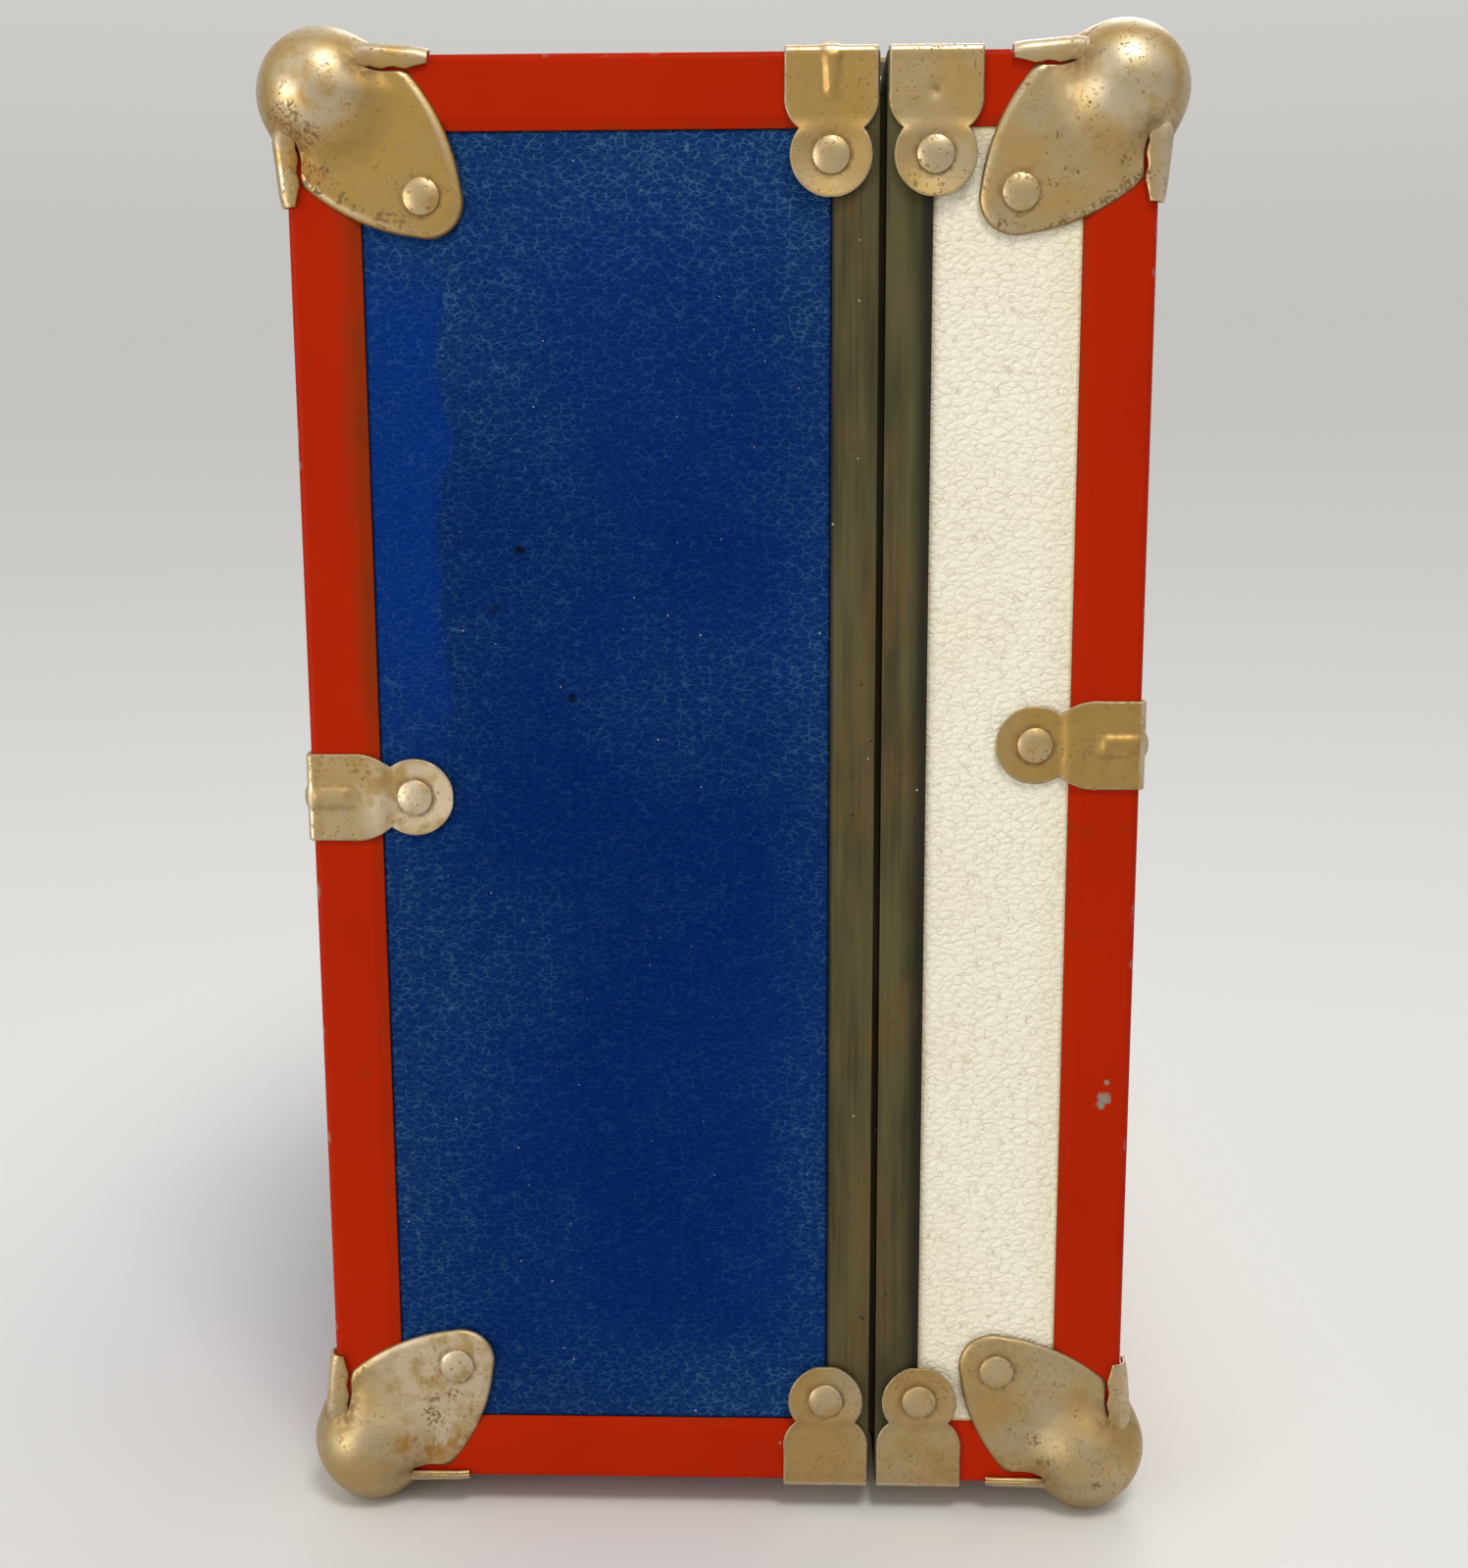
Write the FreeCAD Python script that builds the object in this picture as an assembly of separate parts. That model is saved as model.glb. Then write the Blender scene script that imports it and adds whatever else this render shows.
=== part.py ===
import FreeCAD, Part
import math
import os

Vector = FreeCAD.Vector

# Case envelope over the edge bindings, in millimetres
CASE_DEPTH = 178.0
CASE_WIDTH = 356.0
CASE_HEIGHT = 312.0
SEAM_GAP = 1.5

# Wall layers from the outside in
TRIM_GAUGE = 0.9
VINYL = 0.8
BOARD = 5.0
LINING = 0.5
EDGE_RADIUS = 1.7

# Red edge binding
BINDING_LEG = 15.1
BINDING_BEVEL = 2.6
BINDING_LIP = 0.25

# Seam strips: an outer leg on both rims, an inner leg and a tongue on the body's
VALANCE_LEG = 9.5
TONGUE_REACH = 6.0
MITRE_DEPTH = 22.0

# Pressed ball corners
BALL_RADIUS = 14.8
BALL_INSET = 7.0
CORNER_GAUGE = 0.9
CORNER_BLEND = 9.0
STANDING_FLAT = 0.2
LEAF_EDGE = 3.2
LEAF_ROOT = 25.5
LEAF_BULGE_ALONG = 32.6
LEAF_BULGE_ACROSS = 14.0
LEAF_SHOULDER_ALONG = 36.2
LEAF_SHOULDER_ACROSS = 27.0
LEAF_TIP = 34.3
LEAF_RIVET = 28.0
FLANGE_START = 17.0
FLANGE_LENGTH = 12.0
FLANGE_DROP = 2.8

# Riveted clamps that wrap round the edges
CLAMP_GAUGE = 0.9
CLAMP_WIDTH = 19.0
CLAMP_SHOULDER = 8.3
CLAMP_SHOULDER_BOW = 0.8
CLAMP_WAIST = 13.2
CLAMP_LOBE_RADIUS = 8.4
SEAM_CLAMP_LOBE = 20.5
EDGE_CLAMP_LOBE = 22.5
SEAM_CLAMP_SETBACK = 0.3
CORNER_CLEAR = 0.7
CLAMP_STEP = 2.0
CLAMP_CORNER = 1.2
RIB_RADIUS = 1.2
RIB_PROUD = 0.8
RIB_LENGTH = 9.0
BACK_CLAMP_HEIGHT = 159.1
FRONT_CLAMP_HEIGHT = 170.6

# Large rivets on corners and clamps, small rivets on the fittings
RIVET_HEAD_RADIUS = 3.8
RIVET_HEAD_HEIGHT = 1.3
RIVET_SHANK = 1.6
RIVET_TAIL_RADIUS = 2.8
RIVET_TAIL = 0.8
SMALL_HEAD_RADIUS = 2.4
SMALL_HEAD_HEIGHT = 1.1
SMALL_SHANK = 1.1
SMALL_TAIL_RADIUS = 2.0
RIVET_FIT = 0.05

# Running clearances
FIT = 0.3
PIN_FIT = 0.05

# Hinges on the bottom
HINGE_INSET = 73.0
HINGE_WIDTH = 40.0
HINGE_GAUGE = 0.9
HINGE_BARREL = 1.9
HINGE_PIN = 1.0
HINGE_SEAT = 13.0
HINGE_DROP = 0.1
HINGE_KNUCKLES = 5
HINGE_RIVET_PITCH = 13.0

# Carry handle on the top of the body
HANDLE_SPAN = 140.0
HANDLE_REACH = 34.0
HANDLE_PIVOT_HEIGHT = 9.5
HANDLE_PIN = 2.0
HANDLE_EYE = 4.2
HANDLE_EYE_WIDTH = 7.0
HANDLE_STRAP = 3.0
GRIP_WIDTH = 18.0
GRIP_HEIGHT = 12.0
GRIP_END_SHARE = 0.62
GRIP_MID_SHARE = 0.55
GRIP_OVERHANG = 7.0
BRACKET_GAUGE = 1.6
BRACKET_LENGTH = 28.0
BRACKET_EAR_WIDTH = 10.0
BRACKET_MARGIN = 2.5
BRACKET_RIVET = 10.3

# Latches on the top: a lock on the body and a hasp on the lid
LATCH_INSET = 66.0
PLATE_GAUGE = 0.9
PLATE_CLEAR = 1.6
LOCK_LENGTH = 24.0
LOCK_WIDTH = 24.0
LOCK_HEIGHT = 8.0
LOCK_FLANGE = 7.0
LOCK_MARGIN = 2.0
NOSE_SETBACK = 8.0
NOSE_WIDTH = 8.0
NOSE_GAUGE = 1.6
NOSE_CLEAR = 0.8
HASP_GAUGE = 1.2
HASP_WIDTH = 18.0
HASP_OVERHANG = 5.0
HASP_TIP_RISE = 1.3
HASP_BARREL = 2.0
HASP_PIN = 1.0
HASP_PLATE_LENGTH = 20.0
HASP_RISE_RUN = 5.0
HASP_ROOT_BITE = 0.1
HASP_ROOT_LAP = 0.4
SLIDE_TRAVEL = 4.0
SLIDE_GAUGE = 1.6
BOLT_WIDTH = 3.8
BOLT_BITE = 2.0
BUTTON_LENGTH = 6.5
BUTTON_WIDTH = 8.0
BUTTON_HEIGHT = 2.5
STEM_LENGTH = 3.5
STEM_WIDTH = 4.0
BUTTON_RIDGES = 4
RIDGE_RADIUS = 0.45
SPRING_GAUGE = 0.35
SPRING_LIMBS = 3

# Planes of the envelope and insets of the wall layers, worked out from the above
BACK = -CASE_DEPTH / 2
FRONT = CASE_DEPTH / 2
NEAR = -CASE_WIDTH / 2
FAR = CASE_WIDTH / 2
BASE = BALL_RADIUS - BALL_INSET - STANDING_FLAT
TOP = BASE + CASE_HEIGHT
MID_HEIGHT = BASE + CASE_HEIGHT / 2
SEAM_CLAMP_CENTRE = SEAM_CLAMP_SETBACK + CLAMP_WIDTH / 2
# The lid is just deep enough for a corner's petal and a seam clamp side by side
LID_DEPTH = SEAM_CLAMP_CENTRE + CLAMP_LOBE_RADIUS + CORNER_CLEAR + LEAF_SHOULDER_ALONG
BODY_DEPTH = CASE_DEPTH - SEAM_GAP - LID_DEPTH
BODY_RIM = BACK + BODY_DEPTH
LID_RIM = BODY_RIM + SEAM_GAP
SEAM = BODY_RIM + SEAM_GAP / 2
BOARD_OUT = TRIM_GAUGE + VINYL
BOARD_IN = BOARD_OUT + BOARD
INSIDE = BOARD_IN + LINING
VINYL_TOP = TOP - TRIM_GAUGE
PLANES = ((BACK, FRONT), (NEAR, FAR), (BASE, TOP))
HINGE_OFFSET = CASE_WIDTH / 2 - HINGE_INSET
LATCH_OFFSET = CASE_WIDTH / 2 - LATCH_INSET
VALANCE_INNER_LEG = SEAM_CLAMP_CENTRE - RIVET_TAIL_RADIUS - FIT


def box(x0, y0, z0, x1, y1, z1):
    """Box between two opposite corners given in any order."""
    low = Vector(min(x0, x1), min(y0, y1), min(z0, z1))
    return Part.makeBox(abs(x1 - x0), abs(y1 - y0), abs(z1 - z0), low)


def fused(solids):
    """One clean solid from several that touch or overlap."""
    return solids[0].fuse(solids[1:]).removeSplitter()


def outline_face(items, to_space):
    """Face inside a closed outline of points and (mid, end) arcs."""
    start = items[0]
    here = start
    edges = []
    for item in items[1:] + [start]:
        if isinstance(item[0], tuple):
            mid, end = item
            edges.append(Part.Arc(to_space(here), to_space(mid), to_space(end)).toShape())
        else:
            end = item
            if end != here:
                edges.append(Part.makeLine(to_space(here), to_space(end)))
        here = end
    return Part.Face(Part.Wire(edges))


def side(axis, sign, inset):
    """Coordinate at an inset from the low (-1) or high (+1) envelope plane of an axis."""
    low, high = PLANES[axis]
    return high - inset if sign > 0 else low + inset


def inward(axis, sign):
    """Unit vector into the case from an envelope plane."""
    parts = [0.0, 0.0, 0.0]
    parts[axis] = -float(sign)
    return Vector(*parts)


def layer_sheets(face_plane, rim_plane, outer, inner):
    """Five sheets of one wall layer: the closed face, then top, bottom, near and far."""
    way = 1 if rim_plane > face_plane else -1
    face_out = face_plane + way * outer
    face_in = face_plane + way * inner
    rim = rim_plane - way * TRIM_GAUGE
    return {
        "face": box(face_out, NEAR + outer, BASE + outer, face_in, FAR - outer, TOP - outer),
        "top": box(face_in, NEAR + outer, TOP - outer, rim, FAR - outer, TOP - inner),
        "bottom": box(face_in, NEAR + outer, BASE + outer, rim, FAR - outer, BASE + inner),
        "near": box(face_in, NEAR + outer, BASE + inner, rim, NEAR + inner, TOP - inner),
        "far": box(face_in, FAR - outer, BASE + inner, rim, FAR - inner, TOP - inner),
    }


def frame_box(x0, x1, inset):
    """Block across the whole case between two planes, drawn in from the envelope."""
    return box(x0, NEAR + inset, BASE + inset, x1, FAR - inset, TOP - inset)


def rim_ring(x0, x1, outer, inner):
    """Rectangular ring between two insets, rounded along its outer edges if it is outermost."""
    block = frame_box(x0, x1, outer)
    if outer == 0:
        edges = [e for e in block.Edges if e.BoundBox.XLength > abs(x1 - x0) / 2]
        block = block.makeFillet(EDGE_RADIUS, edges)
    return block.cut(frame_box(x0, x1, inner))


def mitred(ring):
    """Four strips of a rectangular ring, parted on its diagonals: top, bottom, near and far."""
    span = ring.BoundBox
    x0 = span.XMin - FIT
    reach = Vector(span.XLength + 2 * FIT, 0, 0)
    grow = FIT
    outer = [(NEAR - grow, BASE - grow), (FAR + grow, BASE - grow),
             (FAR + grow, TOP + grow), (NEAR - grow, TOP + grow)]
    inset = MITRE_DEPTH
    inner = [(NEAR + inset, BASE + inset), (FAR - inset, BASE + inset),
             (FAR - inset, TOP - inset), (NEAR + inset, TOP - inset)]
    strips = []
    for i in range(4):
        j = (i + 1) % 4
        corners = [outer[i], outer[j], inner[j], inner[i]]
        wedge = outline_face(corners, lambda p: Vector(x0, p[0], p[1])).extrude(reach)
        strips.append(ring.common(wedge))
    return strips


def edge_placement(along, first_sign, second_sign, position):
    """Frame on a case edge: X along it, Y into the case from one face, Z from the other."""
    first, second = [axis for axis in range(3) if axis != along]
    across = inward(first, first_sign)
    down = inward(second, second_sign)
    run = across.cross(down)
    origin = [0.0, 0.0, 0.0]
    origin[along] = position
    origin[first] = side(first, first_sign, 0)
    origin[second] = side(second, second_sign, 0)
    matrix = FreeCAD.Matrix(run.x, across.x, down.x, origin[0],
                            run.y, across.y, down.y, origin[1],
                            run.z, across.z, down.z, origin[2],
                            0, 0, 0, 1)
    return FreeCAD.Placement(matrix)


def placed(shape, placement):
    """Copy of a shape moved to a placement."""
    copy = shape.copy()
    copy.Placement = placement.multiply(copy.Placement)
    return copy


def binding_strip(along, first_sign, second_sign, start, end):
    """Angle strip on one edge, rounded outside, its legs bevelled down to the vinyl."""
    flat = BINDING_LEG - BINDING_BEVEL
    lip = TRIM_GAUGE - BINDING_LIP
    turn = EDGE_RADIUS * (1 - math.sqrt(0.5))
    items = [(EDGE_RADIUS, 0.0), (flat, 0.0), (BINDING_LEG, lip), (BINDING_LEG, TRIM_GAUGE),
             (TRIM_GAUGE, TRIM_GAUGE), (TRIM_GAUGE, BINDING_LEG), (lip, BINDING_LEG),
             (0.0, flat), (0.0, EDGE_RADIUS), ((turn, turn), (EDGE_RADIUS, 0.0))]
    length = end - start
    face = outline_face(items, lambda p: Vector(-length / 2, p[0], p[1]))
    strip = face.extrude(Vector(length, 0, 0))
    return placed(strip, edge_placement(along, first_sign, second_sign, (start + end) / 2))


def half_bindings(face_sign, rim_plane):
    """Frame strips round the closed face, and side strips from there to the seam strip."""
    frame = []
    sides = []
    for z_sign in (-1, 1):
        frame.append(binding_strip(1, face_sign, z_sign, NEAR + TRIM_GAUGE, FAR - TRIM_GAUGE))
    for y_sign in (-1, 1):
        frame.append(binding_strip(2, face_sign, y_sign, BASE + BINDING_LEG, TOP - BINDING_LEG))
        for z_sign in (-1, 1):
            ends = sorted((side(0, face_sign, BINDING_LEG), rim_plane + face_sign * VALANCE_LEG))
            sides.append(binding_strip(0, y_sign, z_sign, ends[0], ends[1]))
    return frame, sides


def leaf_outline():
    """Petal outline, symmetrical about its diagonal."""
    tip = (LEAF_TIP, LEAF_TIP)
    return [(LEAF_EDGE, LEAF_EDGE), (LEAF_ROOT, LEAF_EDGE),
            ((LEAF_BULGE_ALONG, LEAF_BULGE_ACROSS), (LEAF_SHOULDER_ALONG, LEAF_SHOULDER_ACROSS)),
            (tip, (LEAF_SHOULDER_ACROSS, LEAF_SHOULDER_ALONG)),
            ((LEAF_BULGE_ACROSS, LEAF_BULGE_ALONG), (LEAF_EDGE, LEAF_ROOT))]


def ball_skirt():
    """Concave flare that leads the ball out onto a petal's plane."""
    rise = BALL_INSET + CORNER_GAUGE
    flare = math.sqrt((BALL_RADIUS + CORNER_BLEND) ** 2 - (rise + CORNER_BLEND) ** 2)
    share = BALL_RADIUS / (BALL_RADIUS + CORNER_BLEND)
    on_ball = (flare * share, (rise + CORNER_BLEND) * share - rise)
    lean = math.atan2(flare, rise + CORNER_BLEND) / 2
    mid = (flare - CORNER_BLEND * math.sin(lean), CORNER_BLEND * (1 - math.cos(lean)))
    items = [(0.0, 0.0), (flare, 0.0), (mid, on_ball), (0.0, on_ball[1])]
    face = outline_face(items, lambda p: Vector(BALL_INSET + p[0], BALL_INSET, -CORNER_GAUGE - p[1]))
    return face.revolve(Vector(BALL_INSET, BALL_INSET, 0), Vector(0, 0, 1), 360)


def leaf_flange(swap):
    """Part of a petal that turns over the case edge; swap puts it on the other edge."""
    end = FLANGE_START + FLANGE_LENGTH
    spans = [(FLANGE_START, -CORNER_GAUGE, -CORNER_GAUGE, end, LEAF_EDGE + CORNER_GAUGE, 0.0),
             (FLANGE_START, -CORNER_GAUGE, -CORNER_GAUGE, end, 0.0, FLANGE_DROP)]
    pieces = []
    for x0, y0, z0, x1, y1, z1 in spans:
        pieces.append(box(y0, x0, z0, y1, x1, z1) if swap else box(x0, y0, z0, x1, y1, z1))
    return fused(pieces)


def corner_master():
    """Ball corner at the origin of the positive octant: a hollow ball flowing into three petals."""
    centre = Vector(BALL_INSET, BALL_INSET, BALL_INSET)
    ball = Part.makeSphere(BALL_RADIUS, centre)
    hollow = Part.makeSphere(BALL_RADIUS - CORNER_GAUGE, centre)
    face = outline_face(leaf_outline(), lambda p: Vector(p[0], p[1], 0))
    plate = face.extrude(Vector(0, 0, -CORNER_GAUGE))
    reach = face.extrude(Vector(0, 0, -BALL_RADIUS))
    leaf = plate.fuse(ball_skirt().common(reach))
    seat_start = BINDING_LEG + FIT
    seat_zone = box(seat_start, seat_start, 0, 2 * LEAF_TIP, 2 * LEAF_TIP, TRIM_GAUGE)
    seat = face.extrude(Vector(0, 0, TRIM_GAUGE)).common(seat_zone)
    flanges = ([leaf_flange(False), leaf_flange(True)], [leaf_flange(True)], [])
    turn_axis = Vector(1, 1, 1)
    shells = [ball]
    seats = []
    for turn, extra in enumerate(flanges):
        for piece in [leaf] + extra:
            shells.append(piece.copy().rotate(Vector(0, 0, 0), turn_axis, 120 * turn))
        seats.append(seat.copy().rotate(Vector(0, 0, 0), turn_axis, 120 * turn))
    inside = box(0, 0, 0, 2 * LEAF_TIP, 2 * LEAF_TIP, 2 * LEAF_TIP)
    shell = shells[0].fuse(shells[1:]).cut(hollow).cut(inside)
    return shell.fuse(seats).removeSplitter()


def corners():
    """All eight corners, the four lower ones with a worn standing flat."""
    master = corner_master()
    master.translate(Vector(BACK, NEAR, BASE))
    worn = master.cut(box(BACK - BALL_RADIUS, NEAR - BALL_RADIUS, -BALL_RADIUS,
                          BACK + BALL_RADIUS, NEAR + BALL_RADIUS, 0))
    upper = master.mirror(Vector(0, 0, MID_HEIGHT), Vector(0, 0, 1))
    made = {}
    for level, shape in (("bottom", worn), ("top", upper)):
        for half, flip_x in (("body", False), ("lid", True)):
            for end, flip_y in (("near", False), ("far", True)):
                copy = shape.mirror(Vector(0, 0, 0), Vector(1, 0, 0)) if flip_x else shape.copy()
                if flip_y:
                    copy = copy.mirror(Vector(0, 0, 0), Vector(0, 1, 0))
                made[half + "_corner_" + end + "_" + level] = copy
    return made


def clamp_leg(lobe, stepped):
    """One leg of a clamp in the edge frame, lying on the face that Z points in from."""
    half = CLAMP_WIDTH / 2
    waist = CLAMP_WAIST / 2
    waist_at = lobe - math.sqrt(CLAMP_LOBE_RADIUS ** 2 - waist ** 2)
    bow = ((half + waist) / 2 + CLAMP_SHOULDER_BOW,
           (CLAMP_SHOULDER + waist_at) / 2 + CLAMP_SHOULDER_BOW)
    items = [(-half, -CLAMP_GAUGE), (half, -CLAMP_GAUGE), (half, CLAMP_SHOULDER),
             (bow, (waist, waist_at)), ((0.0, lobe + CLAMP_LOBE_RADIUS), (-waist, waist_at)),
             ((-bow[0], bow[1]), (-half, CLAMP_SHOULDER))]
    depth = CLAMP_GAUGE + TRIM_GAUGE
    keyhole = outline_face(items, lambda p: Vector(p[0], p[1], -CLAMP_GAUGE)).extrude(Vector(0, 0, depth))
    bend = BINDING_LEG + FIT
    end = lobe + CLAMP_LOBE_RADIUS + FIT
    seat = [(-CLAMP_GAUGE, 0.0), (end, 0.0)]
    if stepped:
        seat = [(-CLAMP_GAUGE, 0.0), (bend, 0.0), (bend + CLAMP_STEP, TRIM_GAUGE), (end, TRIM_GAUGE)]
    profile = seat + [(at, drop - CLAMP_GAUGE) for at, drop in reversed(seat)]
    sheet = outline_face(profile, lambda p: Vector(-half, p[0], p[1])).extrude(Vector(CLAMP_WIDTH, 0, 0))
    return sheet.common(keyhole)


def clamp_rib():
    """Raised bead that stiffens the bend, running a little way down both legs."""
    level = RIB_RADIUS - RIB_PROUD - CLAMP_GAUGE
    length = RIB_LENGTH - level
    start = Vector(0, level, level)
    bead = fused([Part.makeCylinder(RIB_RADIUS, length, start, Vector(0, 1, 0)),
                  Part.makeCylinder(RIB_RADIUS, length, start, Vector(0, 0, 1)),
                  Part.makeSphere(RIB_RADIUS, start),
                  Part.makeSphere(RIB_RADIUS, Vector(0, RIB_LENGTH, level)),
                  Part.makeSphere(RIB_RADIUS, Vector(0, level, RIB_LENGTH))])
    room = 2 * RIB_LENGTH
    return bead.cut(box(-room, -CLAMP_GAUGE / 2, -CLAMP_GAUGE / 2, room, room, room))


def clamp_master(lobe, stepped):
    """Clamp in the edge frame: two lobed legs, a rounded bend and its rib."""
    leg = clamp_leg(lobe, stepped)
    other = leg.mirror(Vector(0, 0, 0), Vector(0, 1, -1))
    plate = fused([leg, other])
    outside = FIT - CLAMP_GAUGE
    bend = [e for e in plate.Edges if max(e.BoundBox.YMax, e.BoundBox.ZMax) < outside]
    return fused([plate.makeFillet(CLAMP_CORNER, bend), clamp_rib()])


def rivet(head, direction, grip, large):
    """Domed rivet from its seat inwards through a grip, clinched flat inside the case."""
    head_radius = RIVET_HEAD_RADIUS if large else SMALL_HEAD_RADIUS
    height = RIVET_HEAD_HEIGHT if large else SMALL_HEAD_HEIGHT
    shank = RIVET_SHANK if large else SMALL_SHANK
    tail = RIVET_TAIL_RADIUS if large else SMALL_TAIL_RADIUS
    dome = (head_radius ** 2 + height ** 2) / (2 * height)
    lean = math.asin(head_radius / dome) / 2
    mid = (dome * math.sin(lean), dome - height - dome * math.cos(lean))
    items = [(0.0, -height), (mid, (head_radius, 0.0)), (shank, 0.0), (shank, grip), (tail, grip),
             (tail, grip + RIVET_TAIL), (0.0, grip + RIVET_TAIL)]
    face = outline_face(items, lambda p: Vector(p[0], 0, p[1]))
    solid = face.revolve(Vector(0, 0, 0), Vector(0, 0, 1), 360)
    return placed(solid, FreeCAD.Placement(head, FreeCAD.Rotation(Vector(0, 0, 1), direction)))


def rivet_hole(head, direction, grip, large):
    """Hole for a rivet's shank, a little longer than its grip."""
    radius = (RIVET_SHANK if large else SMALL_SHANK) + RIVET_FIT
    start = head - direction * FIT
    return Part.makeCylinder(radius, grip + 2 * FIT, start, direction)


class RivetSet:
    """Rivets of one half of the case, with the holes that they need."""

    def __init__(self):
        self.large = []
        self.small = []
        self.holes = []

    def add(self, head, direction, seat, large=True):
        """Rivet whose head sits at a height over the envelope plane given by minus seat."""
        grip = INSIDE - seat
        group = self.large if large else self.small
        group.append(rivet(head, direction, grip, large))
        self.holes.append(rivet_hole(head, direction, grip, large))

    def drill(self, shape):
        """Copy of a shape with every hole that meets it."""
        tools = [hole for hole in self.holes if hole.BoundBox.intersect(shape.BoundBox)]
        return shape.cut(tools) if tools else shape


def edge_clamps(rivets, along, first_sign, second_sign, position, lobe, stepped, master):
    """A clamp on one edge, with a rivet in each of its lobes."""
    frame = edge_placement(along, first_sign, second_sign, position)
    seat = (TRIM_GAUGE if stepped else 0.0) - CLAMP_GAUGE
    for local in (Vector(0, lobe, seat), Vector(0, seat, lobe)):
        into = Vector(0, 0, 1) if local.z == seat else Vector(0, 1, 0)
        rivets.add(frame.multVec(local), frame.Rotation.multVec(into), seat)
    return placed(master, frame)


def corner_rivets(rivets, face_sign):
    """Three rivets in each of one half's four corners."""
    for y_sign in (-1, 1):
        for z_sign in (-1, 1):
            signs = (face_sign, y_sign, z_sign)
            for axis in range(3):
                head = [side(i, signs[i], LEAF_RIVET) for i in range(3)]
                head[axis] = side(axis, signs[axis], -CORNER_GAUGE)
                rivets.add(Vector(*head), inward(axis, signs[axis]), -CORNER_GAUGE)


def half_clamps(rivets, face_sign, rim_plane, mid_height, seam_master, edge_master):
    """Seam clamps by the rim and one clamp halfway along each edge of the closed face."""
    seam = []
    middle = []
    seam_at = rim_plane + face_sign * SEAM_CLAMP_CENTRE
    for y_sign in (-1, 1):
        for z_sign in (-1, 1):
            seam.append(edge_clamps(rivets, 0, y_sign, z_sign, seam_at,
                                    SEAM_CLAMP_LOBE, False, seam_master))
        middle.append(edge_clamps(rivets, 2, face_sign, y_sign, BASE + mid_height,
                                  EDGE_CLAMP_LOBE, True, edge_master))
    for z_sign in (-1, 1):
        middle.append(edge_clamps(rivets, 1, face_sign, z_sign, 0.0, EDGE_CLAMP_LOBE, True, edge_master))
    return seam, middle


def hinge_leaf(rivets, way, centre):
    """Hinge leaf under the bottom: way is -1 on the body, +1 on the lid."""
    rim = BODY_RIM if way < 0 else LID_RIM
    axis_z = BASE - HINGE_BARREL - HINGE_DROP
    bend = rim + way * (VALANCE_LEG + FIT)
    run = bend + way * CLAMP_STEP
    end = run + way * HINGE_SEAT
    low = BASE - HINGE_GAUGE
    profile = [(SEAM, BASE), (bend, BASE), (run, BASE + TRIM_GAUGE), (end, BASE + TRIM_GAUGE),
               (end, low + TRIM_GAUGE), (run, low + TRIM_GAUGE), (bend, low), (SEAM, low)]
    start = centre - HINGE_WIDTH / 2
    plate = outline_face(profile, lambda p: Vector(p[0], start, p[1])).extrude(Vector(0, HINGE_WIDTH, 0))
    pitch = HINGE_WIDTH / HINGE_KNUCKLES
    solids = [plate]
    clear = []
    for i in range(HINGE_KNUCKLES):
        y0 = start + i * pitch
        mine = (i % 2 == 0) == (way < 0)
        if mine:
            solids.append(Part.makeCylinder(HINGE_BARREL, pitch - FIT, Vector(SEAM, y0 + FIT / 2, axis_z),
                                            Vector(0, 1, 0)))
        else:
            clear.append(box(SEAM - way * HINGE_BARREL, y0 - FIT / 2, 0,
                             SEAM + way * (HINGE_BARREL + 2 * FIT), y0 + pitch + FIT / 2, BASE + FIT))
    bore = Part.makeCylinder(HINGE_PIN + PIN_FIT, HINGE_WIDTH + 2 * FIT, Vector(SEAM, start - FIT, axis_z),
                             Vector(0, 1, 0))
    leaf = fused(solids).cut(clear + [bore])
    for step in (-1, 0, 1):
        head = Vector((run + end) / 2, centre + step * HINGE_RIVET_PITCH, low + TRIM_GAUGE)
        rivets.add(head, Vector(0, 0, 1), TRIM_GAUGE - HINGE_GAUGE, large=False)
    return leaf


def hinge_pin(centre):
    """Plain pin through all the knuckles of a hinge."""
    start = Vector(SEAM, centre - HINGE_WIDTH / 2, BASE - HINGE_BARREL - HINGE_DROP)
    return Part.makeCylinder(HINGE_PIN, HINGE_WIDTH, start, Vector(0, 1, 0))


def handle_grip(pivot):
    """Moulded grip: rounded sections that swell towards the middle."""
    half = HANDLE_SPAN / 2 + GRIP_OVERHANG
    centre = pivot + Vector(HANDLE_REACH, 0, 0)
    sections = []
    for share in (-1.0, -GRIP_MID_SHARE, 0.0, GRIP_MID_SHARE, 1.0):
        size = 1.0 - (1.0 - GRIP_END_SHARE) * share ** 2
        wide = GRIP_WIDTH / 2 * size
        tall = GRIP_HEIGHT / 2 * size
        at = centre + Vector(0, share * half, 0)
        ellipse = Part.Ellipse(at + Vector(wide, 0, 0), at + Vector(0, 0, tall), at)
        sections.append(Part.Wire(ellipse.toShape()))
    return Part.makeLoft(sections, True)


def handle_end(pivot, y):
    """Steel end: an eye on the pivot pin and a strap that runs into the grip."""
    low = pivot + Vector(0, y - HANDLE_EYE_WIDTH / 2, 0)
    eye = Part.makeCylinder(HANDLE_EYE, HANDLE_EYE_WIDTH, low, Vector(0, 1, 0))
    half = HANDLE_STRAP / 2
    strap = box(pivot.x, low.y, pivot.z - half, pivot.x + HANDLE_REACH, low.y + HANDLE_EYE_WIDTH,
                pivot.z + half)
    bore = Part.makeCylinder(HANDLE_PIN + PIN_FIT, HANDLE_EYE_WIDTH, low, Vector(0, 1, 0))
    return fused([eye, strap]).cut(bore)


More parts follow.
